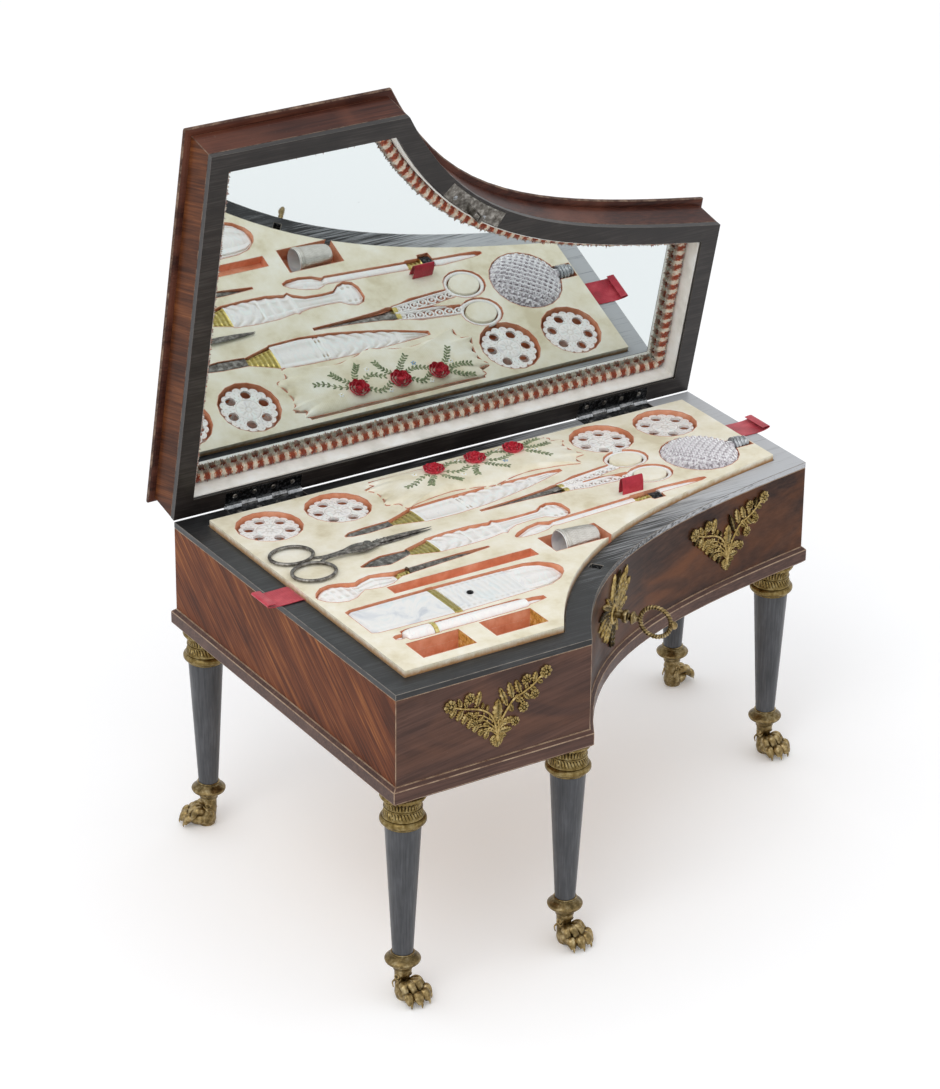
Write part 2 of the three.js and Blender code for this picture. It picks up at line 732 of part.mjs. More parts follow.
const lidLeaf = union([
  leafPlate(lidGap / 2).subtract(knuckleRoom(0)).subtract(knuckleRoom(2)).subtract(knuckleRoom(4)),
  knuckle(1, barrelRadius), knuckle(3, barrelRadius),
]).subtract(pinRoom);
['left', 'right'].forEach((side, i) => {
  const mesh = node(`hinge_${side}_case_leaf`, caseLeaf, steel, root);
  mesh.position.set(hingePlaces[i], 0, axisHeight);
});

// Lid, built closed above the hinge axis and swung open about it.
const lid = new THREE.Group();
lid.name = 'lid';
lid.position.z = axisHeight;
lid.rotation.x = -lidOpen;
root.add(lid);

const lidLow = lidGap / 2;
const lidRimTop = lidLow + rimThick;
const lidHinge = hingePlaces.map((x) => union([
  block(
    x - halfHinge - fitGap, x + halfHinge + fitGap, -hingeLeafWidth - fitGap, cutOverrun,
    lidLow - cutOverrun, lidLow + leafSink,
  ),
  block(
    x - halfHinge - fitGap, x + halfHinge + fitGap, -barrelRadius - runningGap, cutOverrun,
    lidLow - cutOverrun, barrelRadius + runningGap,
  ),
]));
const strikeFrame = wallFrame(catchShare * bentLength, 0);
const halfStrike = strikeLength / 2;
const strikeInset = lidWall - strikeWidth - fitGap * 2;

// Outline of a strip that follows the bent side between two insets, longer and wider by a gap.
function bentStrip(middle, half, insetOut, insetIn, gap) {
  const steps = 5;
  const along = list(steps + 1).map((i) => middle + (half + gap) * ((2 * i) / steps - 1));
  const side = (inset) => along.map((run) => {
    const p = onBent(run);
    return [p.x - p.wy * inset, p.y + p.wx * inset];
  });
  return [...side(insetOut - gap), ...side(insetIn + gap).reverse()];
}
const strikeRun = catchShare * bentLength;
const strikeCut = prism(
  bentStrip(strikeRun, halfStrike, strikeInset, strikeInset + strikeWidth, fitGap),
  lidLow - cutOverrun, lidLow + strikeThick + fitGap,
);
node('lid_rim', prism(plan(0), lidLow, lidRimTop, [plan(lidWall)])
  .subtract(union(lidHinge)).subtract(strikeCut), ebony, lid);
node('lid_frame', prism(plan(0), lidRimTop + fitGap, lidLow + lidDepth, [plan(lidWall)]), mahogany, lid);

const beadLow = lidLow + lidDepth + fitGap;
const panelInset = lidWall + fitGap;
const topEdge = [
  [-lidOverhang / 3, 0], [-lidOverhang, 0.28], [-lidOverhang, 0.66], [-lidOverhang / 2, 1],
];
const panelLow = mirrorDepth + lidLow + mirrorThick + fitGap;
const lidPanel = prism(plan(panelInset), panelLow, beadLow + lidTopThick / 2);
const lidBoard = loft(topEdge.map(([inset, share]) => plan(inset)
  .map(([x, y]) => [x, y, beadLow + share * lidTopThick])), { planCap: true });
node('lid_top', union([lidPanel, lidBoard]), mahogany, lid);

const mirrorFace = lidLow + mirrorDepth;
node('mirror', prism(plan(panelInset), mirrorFace, mirrorFace + mirrorThick), glass, lid);
node('lid_lining', prism(
  plan(panelInset), lidLow + rimThick / 2, mirrorFace - fitGap, [plan(panelInset + liningThick)],
), paper, lid);
const trimOut = panelInset + liningThick + fitGap;
const trimSides = 5;
node('mirror_trim', moulding(list(trimSides).map((i) => {
  const angle = ((i + 0.5) / trimSides) * fullTurn;
  return [
    trimOut + trimWidth * (1 - Math.cos(angle)) / 2,
    mirrorFace - fitGap - trimHeight * (1 - Math.sin(angle)) / 2,
  ];
})), chenille, lid);

const eyeLow = -stapleDrop + stapleThick * 0.8;
const staple = block(
  -stapleThick / 2, stapleThick / 2, -stapleDrop, strikeThick / 2,
  catchCentre - stapleWidth / 2, catchCentre + stapleWidth / 2,
).subtract(block(
  -cutOverrun, cutOverrun, eyeLow, eyeLow + boltHeight + runningGap * 3,
  catchCentre - boltWidth / 2 - runningGap, catchCentre + boltWidth / 2 + runningGap,
));
const strikePlate = prism(
  bentStrip(strikeRun, halfStrike, strikeInset, strikeInset + strikeWidth, 0), lidLow, lidLow + strikeThick,
);
strikeFrame.position.z = lidLow;
strikeFrame.updateMatrix();
node('strike_plate', union([strikePlate, placed(staple, strikeFrame)]), steel, lid);

['left', 'right'].forEach((side, i) => {
  const mesh = node(`hinge_${side}_lid_leaf`, lidLeaf, steel, lid);
  mesh.position.x = hingePlaces[i];
});

// Tray and everything in it: a fretted board on a thick base. The tray's own z is 0 on its top face.
const tray = new THREE.Group();
tray.name = 'tray';
tray.position.z = trayTop;
root.add(tray);

// The fittings shrink together when the case gets smaller than the layout they are drawn for.
const fittings = new THREE.Group();
fittings.name = 'fittings';
const layoutScale = Math.min(1, caseWidth / layoutWidth, caseDepth / layoutDepth);
fittings.scale.setScalar(layoutScale);
tray.add(fittings);

const spot = ([x, y]) => [x * layoutWidth, y * layoutDepth];
const cuts = [];

// Thread reels: two pierced scalloped discs on a hub.
const reelSpotShares = [[0.112, -0.162], [0.24, -0.157], [0.75, -0.154], [0.877, -0.157]];
const discShare = 0.14;
const wellSides = 16;
const scallopPoints = 16;
const scallops = list(scallopPoints).map((i) => {
  const angle = (i / scallopPoints) * fullTurn;
  const reach = reelRadius * (i % 2 ? 0.91 : 1);
  return [reach * Math.cos(angle), reach * Math.sin(angle)];
});
const pierced = list(6).map((i) => {
  const angle = ((i + 0.5) / 6) * fullTurn;
  const reach = reelRadius * 0.72;
  return disc(reach * Math.cos(angle), reach * Math.sin(angle), reelRadius * 0.15, 5).reverse();
});
const hubRadius = reelRadius * 0.42;
const reel = union([
  prism(scallops, 0, reelHeight * discShare),
  turned([[hubRadius, reelHeight * discShare / 2], [hubRadius, reelHeight * (1 - discShare / 2)]], 8),
  prism(scallops, reelHeight * (1 - discShare), reelHeight, pierced),
]);
const reelNames = ['reel_a', 'reel_b', 'reel_c', 'reel_d'];
reelSpotShares.map(spot).forEach(([x, y], i) => {
  const mesh = node(reelNames[i], reel, pearl, fittings);
  mesh.position.set(x, y, -wellDepth);
  mesh.rotation.z = i * reelTurn;
  cuts.push(prism(disc(x, y, wellRadius, wellSides), -wellDepth, cutOverrun));
});

// Pincushion with its cartouche outline and a low crown.
const cushionCentreShares = [0.5, -0.152];
const cushionShares = [
  [-0.447, 0.136], [-0.447, 0.096], [-0.5, 0.079], [-0.482, 0.053], [-0.474, 0.009], [-0.482, -0.044],
  [-0.5, -0.088], [-0.447, -0.105], [-0.439, -0.158], [-0.386, -0.144], [-0.307, -0.127],
  [-0.193, -0.114], [-0.088, -0.132], [-0.018, -0.154], [0.018, -0.154], [0.088, -0.132], [0.193, -0.114],
  [0.307, -0.127], [0.386, -0.144], [0.439, -0.158], [0.447, -0.105], [0.5, -0.088], [0.482, -0.044],
  [0.474, 0.009], [0.482, 0.053], [0.5, 0.079], [0.447, 0.096], [0.447, 0.136],
  [0.224, 0.136], [0, 0.136], [-0.224, 0.136],
];
const reelPlaces = reelSpotShares.map(spot);
const cushionRoom = reelPlaces[2][0] - reelPlaces[1][0] - (wellRadius + seatGap * 2) * 2;
const cushionOutline = scaled(cushionShares, Math.min(cushionWidth, cushionRoom));
const crownShares = [
  [1, 1, -1], [1, 1, 0], [0.98, 0.92, 0.45], [0.9, 0.76, 0.82], [0.6, 0.4, 1],
];
const cushion = loft(crownShares.map(([wide, deep, rise]) => cushionOutline.map(([x, y]) => [
  x * wide, y * deep, rise > 0 ? rise * cushionCrown : rise * cushionDepth,
])), { planCap: true });
const cushionSpot = spot(cushionCentreShares);
const cushionMesh = node('pincushion', cushion, silk, fittings);
cushionMesh.position.set(...cushionSpot, 0);
cuts.push(prism(grown(cushionOutline, fitGap), -cushionDepth, cutOverrun).translate([...cushionSpot, 0]));

// Flat tools: rows of x, low y, high y as shares of the length, then floor and top of the thickness.
const knifeLongSpotShares = [0.197, -0.294];
const knifeLongShares = [
  [0, -0.013, -0.007], [0.023, -0.023, 0.008], [0.086, -0.028, 0.016], [0.195, -0.02, 0.02],
  [0.2, -0.016, 0.02], [0.258, -0.031, 0.042], [0.32, -0.047, 0.069],
  [0.325, -0.052, 0.073], [0.461, -0.056, 0.081], [0.594, -0.044, 0.084], [0.711, -0.022, 0.084],
  [0.828, 0.005, 0.081], [0.945, 0.042, 0.078], [1, 0.059, 0.073],
];
const knifeLongDepthShares = [
  [-1, -0.8], [-1, -0.62], [-1, -0.6], [-1, -0.6], [-1, -0.25], [-1, -0.15], [-1, -0.12],
  [-1, 0], [-1, 0], [-1, 0], [-1, 0], [-1, 0], [-1, -0.05], [-1, -0.3],
];
const joined = (plans, depths) => plans.map((row, i) => [...row, ...depths[i]]);
const knifeLongRows = barRows(joined(knifeLongShares, knifeLongDepthShares), knifeLongLength, knifeThick);

const knifeWaistSpotShares = [0.163, -0.446];
const knifeWaistShares = [
  [0, -0.021, -0.015], [0.051, -0.043, 0.009], [0.111, -0.055, 0.026], [0.179, -0.034, 0.021],
  [0.222, -0.017, 0.017],
  [0.231, -0.026, 0.026], [0.342, -0.06, 0.06], [0.35, -0.06, 0.068], [0.444, -0.063, 0.077],
  [0.564, -0.06, 0.077], [0.65, -0.043, 0.064],
  [0.667, -0.051, 0.073], [0.684, -0.034, 0.064], [0.735, -0.009, 0.056], [0.821, -0.002, 0.056],
  [0.88, -0.005, 0.06],
  [0.915, -0.034, 0.085], [0.949, -0.044, 0.096], [0.983, -0.031, 0.085], [1, 0, 0.06],
];
const knifeWaistDepthShares = [
  [-1, -0.8], [-1, -0.62], [-1, -0.6], [-1, -0.6], [-1, -0.6], [-1, -0.2], [-1, -0.12], [-1, 0],
  [-1, 0], [-1, 0],
  [-1, 0], [-1, 0.06], [-1, 0], [-1, 0], [-1, 0], [-1, 0], [-1, 0.06], [-1, 0.1], [-1, 0], [-1, -0.2],
];
const knifeWaistRows = barRows(joined(knifeWaistShares, knifeWaistDepthShares), knifeWaistLength, knifeThick);

const stilettoSpotShares = [0.05, -0.542];
const stilettoShares = [
  [0, -0.01, 0.01], [0.021, -0.047, 0.047], [0.062, -0.081, 0.083], [0.115, -0.096, 0.094],
  [0.167, -0.083, 0.083], [0.208, -0.052, 0.062],
  [0.24, -0.031, 0.052], [0.271, -0.042, 0.068], [0.333, -0.053, 0.082], [0.396, -0.042, 0.072],
  [0.448, -0.01, 0.055],
  [0.469, 0, 0.052], [0.521, 0.005, 0.057], [0.531, 0.007, 0.052], [0.677, 0.02, 0.059],
  [0.833, 0.032, 0.064], [1, 0.051, 0.058],
];
const stilettoDepthShares = [
  [-1, -0.6], [-1, -0.3], [-1, -0.1], [-1, 0], [-1, -0.1], [-1, -0.25], [-1, -0.3], [-1, -0.2],
  [-1, -0.05],
  [-1, -0.2], [-1, -0.35], [-1, 0], [-1, 0], [-1, -0.15], [-1, -0.25], [-1, -0.4], [-1, -0.85],
];
const stilettoRows = barRows(joined(stilettoShares, stilettoDepthShares), stilettoLength, stilettoThick);

const hookSpotShares = [0.427, -0.495];
const hookShares = [
  [0, -0.022, -0.013], [0.026, -0.035, 0.009], [0.087, -0.037, 0.035], [0.148, -0.026, 0.048],
  [0.191, -0.004, 0.03],
  [0.209, -0.012, 0.031], [0.617, 0.01, 0.054], [0.623, 0.004, 0.061], [0.69, 0.007, 0.063],
  [0.696, -0.013, 0.064],
  [0.748, -0.013, 0.066], [0.753, 0.026, 0.066], [0.783, 0.028, 0.07], [0.904, 0.033, 0.065],
  [0.974, 0.039, 0.061],
  [1, 0.047, 0.054],
];
const hookDepthShares = [
  [-1, -0.6], [-1, -0.3], [-1, 0], [-1, 0], [-1, -0.2], [-1, 0], [-1, 0], [-1, 0.2], [-1, 0.2], [-1, 0.3],
  [-1, 0.3], [-1, 0], [-1, 0], [-1, -0.1], [-1, -0.3], [-1, -0.6],
];
const hookRows = barRows(joined(hookShares, hookDepthShares), hookLength, hookThick);

const needleSpotShares = [0.063, -0.691];
const needleShares = [
  [0, -0.105, 0.105], [0.024, -0.117, 0.115], [0.393, -0.128, 0.119], [0.398, -0.132, 0.122],
  [0.427, -0.132, 0.122], [0.433, -0.128, 0.119], [0.74, -0.119, 0.114], [0.877, -0.11, 0.11],
  [0.941, -0.082, 0.091], [0.986, -0.037, 0.05], [1, -0.007, 0.018],
];
const needleDepthShares = [
  [-1, -0.15], [-1, -0.02], [-1, 0], [-1, 0.08], [-1, 0.08], [-1, 0], [-1, 0], [-1, -0.05],
  [-1, -0.15], [-1, -0.3],
  [-1, -0.5],
];
const needleRows = barRows(joined(needleShares, needleDepthShares), needleLength, needleThick);

function flatTool(name, rows, spotShares, thick, steps, roundness) {
  const [x, y] = spot(spotShares);
  const mesh = node(name, bar(rows, steps, roundness), pearl, fittings);
  mesh.position.set(x, y, 0);
  cuts.push(seat(rows, -thick).translate([x, y, 0]));
}
flatTool('knife_long', knifeLongRows, knifeLongSpotShares, knifeThick, 8, 0.7);
flatTool('knife_waisted', knifeWaistRows, knifeWaistSpotShares, knifeThick, 8, 0.7);
flatTool('stiletto', stilettoRows, stilettoSpotShares, stilettoThick, 8, 0.8);
flatTool('tambour_hook', hookRows, hookSpotShares, hookThick, 8, 0.9);
flatTool('needle_case', needleRows, needleSpotShares, needleThick, 10, 0.5);

// Barrel case, turned, lying along x.
const barrelSpotShares = [0.083, -0.797];
const barrelShares = [
  [0.014, 0], [0.024, 0.017], [0.024, 0.042], [0.015, 0.06], [0.053, 0.07], [0.062, 0.113],
  [0.062, 0.225],
  [0.059, 0.233], [0.061, 0.242], [0.061, 0.258], [0.054, 0.27], [0.056, 0.5], [0.051, 0.85],
  [0.03, 0.88], [0.026, 0.938], [0.013, 1],
];
const barrelHigh = barrelShares.map(([r, x]) => [x * barrelLength, r * barrelLength]);
const barrelMax = Math.max(...barrelHigh.map(([, r]) => r));
const barrelBody = turned(barrelHigh.map(([x, r]) => [r, x]), 10).rotate([0, quarterTurn, 0]);
const barrelSpot = spot(barrelSpotShares);
const barrelSink = barrelMax * 0.55;
const barrelMesh = node('barrel_case', barrelBody, pearl, fittings);
barrelMesh.position.set(...barrelSpot, -barrelSink);
cuts.push(prism(grown([
  ...barrelHigh.map(([x, r]) => [x, -r]), ...barrelHigh.map(([x, r]) => [x, r]).reverse(),
], seatGap), -barrelSink - barrelMax, cutOverrun).translate([...barrelSpot, 0]));

// Thimble on its side: open mouth towards the left.
const thimbleSpotShares = [0.477, -0.578];
const thimbleOuterShares = [
  [0.35, 0], [0.35, 0.06], [0.325, 0.09], [0.3, 0.6], [0.27, 0.86], [0.19, 0.97], [0.08, 1],
];
const thimbleOuter = thimbleOuterShares.map(([r, x]) => [r * thimbleLength, x * thimbleLength]);
const thimbleInner = thimbleOuter.filter((row, i) => i !== 1)
  .map(([r, x], i) => [Math.max(r - thimbleWall, thimbleWall / 4), i === 0 ? 0 : x - thimbleWall]);
const thimbleSides = 12;
const thimbleHalf = turned(thimbleOuter, thimbleSides).subtract(turned(
  [[thimbleInner[0][0], -cutOverrun], ...thimbleInner.slice(1)], thimbleSides,
)).rotate([0, quarterTurn, 0]);
const thimbleSpot = spot(thimbleSpotShares);
const thimbleMax = thimbleOuter[0][0];
const thimbleSink = thimbleMax * 0.25;
const thimble = node('thimble', thimbleHalf, steel, fittings);
thimble.position.set(...thimbleSpot, -thimbleSink);
const wellMargin = seatGap * 2;
cuts.push(block(
  -thimbleMax, thimbleLength + thimbleMax / 2, -thimbleMax - wellMargin, thimbleMax + wellMargin,
  -thimbleSink - thimbleMax, cutOverrun,
).translate([...thimbleSpot, 0]));

// Cut-glass flask, a thick disc with a threaded neck and a round cap.
const flaskSpotShares = [0.857, -0.346];
const flaskShares = [[0.7, -1], [0.86, -0.84], [1, -0.36], [1, 0.36], [0.86, 0.84], [0.7, 1]];
const flaskSides = 20;
const flaskBody = union([
  turned(flaskShares.map(([r, h]) => [r * flaskRadius, h * flaskThick / 2]), flaskSides),
  turned([[neckRadius, 0], [neckRadius, flaskRadius + capLength * 0.6]], 10)
    .rotate([0, quarterTurn, 0]),
]);
const flaskSpot = spot(flaskSpotShares);
const flaskSink = flaskThick * 0.1;
const flask = node('flask', flaskBody, crystal, fittings);
flask.position.set(...flaskSpot, -flaskSink);
const capShares = [[1, 0], [1, 0.62], [0.78, 0.7], [0.84, 0.9], [0.5, 1]];
const capStart = flaskRadius + runningGap;
const cap = turned(capShares.map(([r, h]) => [r * capRadius, h * capLength]), 12)
  .subtract(turned([[neckRadius + runningGap, -cutOverrun], [neckRadius + runningGap, capLength * 0.66]], 10))
  .rotate([0, quarterTurn, 0]).translate([capStart, 0, 0]);
const capMesh = node('flask_cap', cap, steel, fittings);
capMesh.position.set(...flaskSpot, -flaskSink);
const flaskFloor = -flaskSink - flaskThick / 2;
const flaskWell = disc(0, 0, flaskRadius + seatGap, flaskSides);
cuts.push(prism(flaskWell, flaskFloor, cutOverrun).translate([...flaskSpot, 0]));
cuts.push(block(
  0, capStart + capLength + seatGap, -capRadius - seatGap, capRadius + seatGap,
  flaskFloor - seatGap, cutOverrun,
).translate([...flaskSpot, 0]));

// Steel scissors lying on the tray: both halves turn about the pivot at their own origin.
function ringBow(x, y, wide, tall, wire, rise) {
  const around = 14;
  const section = 5;
  return loft(list(around).map((i) => {
    const angle = (i / around) * fullTurn;
    return list(section).map((j) => {
      const roll = (j / section) * fullTurn;
      const out = Math.cos(roll) * wire / 2;
      return [
        x + (wide - wire / 2 + out) * Math.cos(angle), y + (tall - wire / 2 + out) * Math.sin(angle),
        rise + Math.sin(roll) * wire / 2,
      ];
    });
  }), { loop: true });
}
const mirrored = (points) => points.map(([x, y]) => [x, -y]).reverse();
const armShares = [
  [-0.764, -0.172], [-0.611, -0.094], [-0.222, -0.094], [-0.139, -0.156], [0.122, -0.15], [0.172, -0.072],
  [0.172, 0.017], [0, 0.067], [-0.111, 0.011], [-0.167, -0.007], [-0.678, -0.008], [-0.764, -0.072],
];
const bladeShares = [
  [0.111, -0.072], [0.556, -0.053], [1, -0.011], [1, 0.008], [0.556, 0.047], [0.111, 0.067],
];
const steelRingShares = [-0.989, 0.281, 0.322, 0.272];
const ringRise = scissorWire / 2;
const scissorPin = turned([[pivotRadius, scissorBlade / 2], [pivotRadius, scissorBlade * 2.3]], 12)
  .add(turned([[pivotRadius * 1.5, scissorBlade * 2.15], [pivotRadius * 1.3, scissorBlade * 2.5]], 12));
const scissorHole = turned([[pivotRadius + fitGap, -cutOverrun], [pivotRadius + fitGap, cutOverrun]], 12);

function scissorHalf(upper) {
  const side = upper ? -1 : 1;
  const low = upper ? scissorBlade + fitGap / 3 : 0;
  const flip = (points) => (upper ? points : mirrored(points));
  const [ringX, ringY, wide, tall] = steelRingShares.map((share) => share * scissorReach);
  const half = union([
    prism(flip(scaled(armShares, scissorReach)), low, low + scissorBlade),
    prism(scaled(bladeShares, scissorReach), low, low + scissorBlade),
    ringBow(ringX, side * ringY, wide, tall, scissorWire, ringRise),
  ]);
  return upper ? half.subtract(scissorHole) : union([half, scissorPin]);
}
const steelSpotShares = [0.205, -0.377];
const steelTurn = THREE.MathUtils.degToRad(1.6);
['lower', 'upper'].forEach((half) => {
  const mesh = node(`steel_scissors_${half}`, scissorHalf(half === 'upper'), steel, fittings);
  mesh.position.set(...spot(steelSpotShares), 0);
  mesh.rotation.z = steelTurn;
});

// Pearl-handled scissors, let into the tray: blades to the left, lattice handles and rings to the right.
const pearlBladeShares = [
  [-0.774, -0.011], [-0.377, -0.03], [-0.038, -0.06], [0.057, -0.083], [0.117, -0.075], [0.117, 0.075],
  [0.057, 0.075], [-0.038, 0.053], [-0.377, 0.023], [-0.774, 0.008],
];
const pearlNeckShares = [[0.094, -0.075], [0.189, -0.083], [0.189, -0.011], [0.094, -0.011]];
const pearlArmShares = [
  [0.125, -0.087], [0.226, -0.102], [0.34, -0.14], [0.491, -0.147], [0.642, -0.162], [0.792, -0.166],
  [0.83, -0.113], [0.811, -0.057], [0.679, -0.042], [0.528, -0.009], [0.189, -0.006], [0.125, -0.006],
];
const latticeHoleShares = [
  [0.321, -0.075, 0.028], [0.443, -0.079, 0.032], [0.575, -0.091, 0.032], [0.708, -0.106, 0.028],
];
const pearlRingShares = [0.991, 0.192, 0.219, 0.183];
const pearlRing = pearlRingShares.map((share) => share * pearlReach);
function pearlHalf(upper) {
  const side = upper ? 1 : -1;
  const flip = (points) => (upper ? mirrored(points) : points);
  const thin = pearlThick / 2;
  const bladeLow = upper ? thin + fitGap / 3 : 0;
  const holes = scaled(latticeHoleShares, pearlReach).map(([x, y, r]) => disc(x, side * -y, r, 6).reverse());
  return union([
    prism(scaled(pearlBladeShares, pearlReach), bladeLow, bladeLow + thin - fitGap / 3),
    prism(flip(scaled(pearlNeckShares, pearlReach)), bladeLow, bladeLow + thin - fitGap / 3),
    prism(flip(scaled(pearlArmShares, pearlReach)), 0, pearlThick, holes),
    ringBow(pearlRing[0], side * pearlRing[1], pearlRing[2], pearlRing[3], scissorWire, scissorWire / 2),
  ]);
}
const pearlSpotShares = [0.567, -0.338];
const pearlTurn = THREE.MathUtils.degToRad(2);
const pearlSpot = spot(pearlSpotShares);
['lower', 'upper'].forEach((half) => {
  const mesh = node(`pearl_scissors_${half}`, pearlHalf(half === 'upper'), pearl, fittings);
  mesh.position.set(...pearlSpot, -pearlThick);
  mesh.rotation.z = pearlTurn;
});
const pearlWell = (side) => prism(disc(
  pearlRing[0], side * pearlRing[1], pearlRing[2] + seatGap, 16, pearlRing[3] / pearlRing[2],
), -fretThick, cutOverrun);
const pearlSeat = union([
  prism(grown([...scaled(pearlBladeShares, pearlReach)], seatGap), -pearlThick, cutOverrun),
  prism(grown(scaled(pearlArmShares, pearlReach), seatGap), -pearlThick, cutOverrun),
  prism(grown(mirrored(scaled(pearlArmShares, pearlReach)), seatGap), -pearlThick, cutOverrun),
  pearlWell(1),
  pearlWell(-1),
]);
cuts.push(pearlSeat.rotate([0, 0, THREE.MathUtils.radToDeg(pearlTurn)]).translate([...pearlSpot, 0]));

// Ribbons: a pull on each short side of the tray and the loop that lifts the scissors.
const pullShares = [[0, 0], [0.24, 0.02], [0.5, -0.12], [0.78, -0.42], [1, -0.8]];
function pull(rimRun) {
  const path = [
    [0, -trayProud - ribbonHang / 2], [0, ribbonThick - trayProud],
    [-rimRun, ribbonThick - trayProud],
    ...pullShares.slice(1).map(([u, v]) => [
      -rimRun - u * ribbonHang, ribbonThick - trayProud + v * ribbonHang,
    ]),
  ];
  return strip(path, ribbonThick);
}
const pullSpotShares = [-0.471, -0.262];
const rimRun = trayInset - ribbonThick;
const pullBody = prism(pull(rimRun), -ribbonWidth / 2, ribbonWidth / 2)
  .rotate([quarterTurn, 0, 0]);
const pullLeft = node('ribbon_pull_left', pullBody, ribbon, tray);
pullLeft.position.set(trayInset - ribbonThick / 2, pullSpotShares[0] * caseDepth, 0);
const pullRight = node('ribbon_pull_right', pullBody, ribbon, tray);
pullRight.position.set(caseWidth - trayInset + ribbonThick / 2, pullSpotShares[1] * caseDepth, 0);
pullRight.rotation.z = Math.PI;

const loopShares = [
  [-0.12, 0], [0.12, 0], [0.3, 0.35], [0.42, 0.7], [0.3, 0.94], [0, 1], [-0.3, 0.94], [-0.42, 0.7],
  [-0.3, 0.35],
];
const loopOutline = scaled(loopShares, loopHeight);
const loopHole = grown(loopOutline, -ribbonThick * 1.6).reverse();
const loopBody = prism(loopOutline, -loopWidth / 2, loopWidth / 2, [loopHole])
  .rotate([quarterTurn, 0, 0]).rotate([0, 0, quarterTurn]);
const loopSpotShares = [0.677, -0.439];
const loopMesh = node('ribbon_loop', loopBody, ribbon, fittings);
loopMesh.position.set(...spot(loopSpotShares), 0);

// Empty recesses: the long bodkin slot, the two square compartments and the blade slots.
const boxShares = [
  [0.16, 0.423, -0.61, -0.574], [0.087, 0.18, -0.907, -0.831], [0.218, 0.31, -0.902, -0.828],
];
boxShares.forEach((row, i) => {
  const [xLow, xHigh] = row.slice(0, 2).map((share) => share * layoutWidth);
  const [yLow, yHigh] = row.slice(2).map((share) => share * layoutDepth);
  cuts.push(block(xLow, xHigh, yLow, yHigh, i === 0 ? -fretThick : -compartmentDepth, cutOverrun));
});
const wells = union(cuts).scale(layoutScale);
node('tray_board', prism(plan(trayInset), -fretThick, 0).subtract(wells), cream, tray);
node('tray_base', prism(plan(trayInset), -trayThick, -fretThick).subtract(wells), cream, tray);

// The row's origin is the middle of the bounding box, on the floor.
root.updateMatrixWorld(true);
const box = new THREE.Box3().setFromObject(root, true);
const centre = box.getCenter(new THREE.Vector3());
for (const child of root.children) {
  child.position.x -= centre.x;
  child.position.y -= centre.y;
  child.position.z -= box.min.z;
}

export default root;
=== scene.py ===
# %% [markdown]
# # A necessaire in the shape of a small grand piano
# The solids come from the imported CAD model, which is loaded as a fixed frame. This lesson dresses them:
# it joins and eases their edges, gives them wood, gilding, pearl and silk, and adds the fine work, such
# as leaves, reeds, paws, roses and ribbons, as surfaces worked out with numpy.

# %% Load the frame
import json
import math
from contextlib import contextmanager

import bmesh
import bpy
import numpy as np
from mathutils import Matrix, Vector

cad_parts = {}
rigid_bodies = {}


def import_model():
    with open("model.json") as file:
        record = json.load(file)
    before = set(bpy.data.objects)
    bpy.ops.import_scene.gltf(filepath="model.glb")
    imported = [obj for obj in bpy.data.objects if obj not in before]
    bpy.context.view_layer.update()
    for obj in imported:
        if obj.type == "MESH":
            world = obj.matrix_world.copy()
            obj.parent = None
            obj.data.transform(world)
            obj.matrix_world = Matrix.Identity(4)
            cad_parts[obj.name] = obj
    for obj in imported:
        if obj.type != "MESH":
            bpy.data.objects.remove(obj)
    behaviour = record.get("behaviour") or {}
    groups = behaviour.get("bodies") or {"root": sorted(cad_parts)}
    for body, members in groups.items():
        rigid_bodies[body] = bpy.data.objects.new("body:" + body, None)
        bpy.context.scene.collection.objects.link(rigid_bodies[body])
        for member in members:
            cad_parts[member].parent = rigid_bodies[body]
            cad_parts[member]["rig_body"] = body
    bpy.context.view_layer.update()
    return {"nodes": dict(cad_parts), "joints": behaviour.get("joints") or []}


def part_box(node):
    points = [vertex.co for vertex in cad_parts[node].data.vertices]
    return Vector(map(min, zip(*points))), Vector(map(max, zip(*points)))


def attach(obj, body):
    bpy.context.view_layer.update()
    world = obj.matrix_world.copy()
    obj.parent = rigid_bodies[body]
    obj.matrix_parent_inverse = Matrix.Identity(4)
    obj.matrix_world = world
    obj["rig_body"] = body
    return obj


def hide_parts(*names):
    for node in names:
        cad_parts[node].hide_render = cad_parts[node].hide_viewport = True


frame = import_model()
scene = bpy.context.scene
scene.view_settings.view_transform = "Standard"
MM = 0.001
FULL = 2 * math.pi


def new_object(name, data):
    """An object of the scene that shows some data."""
    obj = bpy.data.objects.new(name, data)
    scene.collection.objects.link(obj)
    return obj


# %% [markdown]
# ## The camera
# The photograph was taken with a long lens from the front left, a little above the box, so the sides
# hardly narrow with distance. The lens is written as the picture's focal length in pixels, because that
# is what the edges of the box in the photograph give.

# %% Camera at the photograph's place
PHOTO_HIGH = 1089
FOCAL_PIXELS = 3843.6
SENSOR = 36
camera_data = bpy.data.cameras.new("camera")
camera_data.sensor_width = SENSOR
camera_data.lens = SENSOR * FOCAL_PIXELS / PHOTO_HIGH
camera_data.clip_start, camera_data.clip_end = 0.05, 50
camera = new_object("camera", camera_data)
scene.camera = camera


def aim(obj, target, distance, azimuth, elevation, roll=0.0):
    """Puts obj at a distance from target, looking at it: azimuth turns about z from -y."""
    a, e, r = (math.radians(v) for v in (azimuth, elevation, roll))
    back = np.array([math.sin(a) * math.cos(e), -math.cos(a) * math.cos(e), math.sin(e)])
    right = np.cross(-back, [0, 0, 1])
    right /= np.linalg.norm(right)
    up = np.cross(back, right)
    columns = np.eye(4)
    columns[:3, 0] = math.cos(r) * right + math.sin(r) * up
    columns[:3, 1] = -math.sin(r) * right + math.cos(r) * up
    columns[:3, 2] = back
    columns[:3, 3] = np.array(target) + back * distance
    obj.matrix_world = columns.T.tolist()


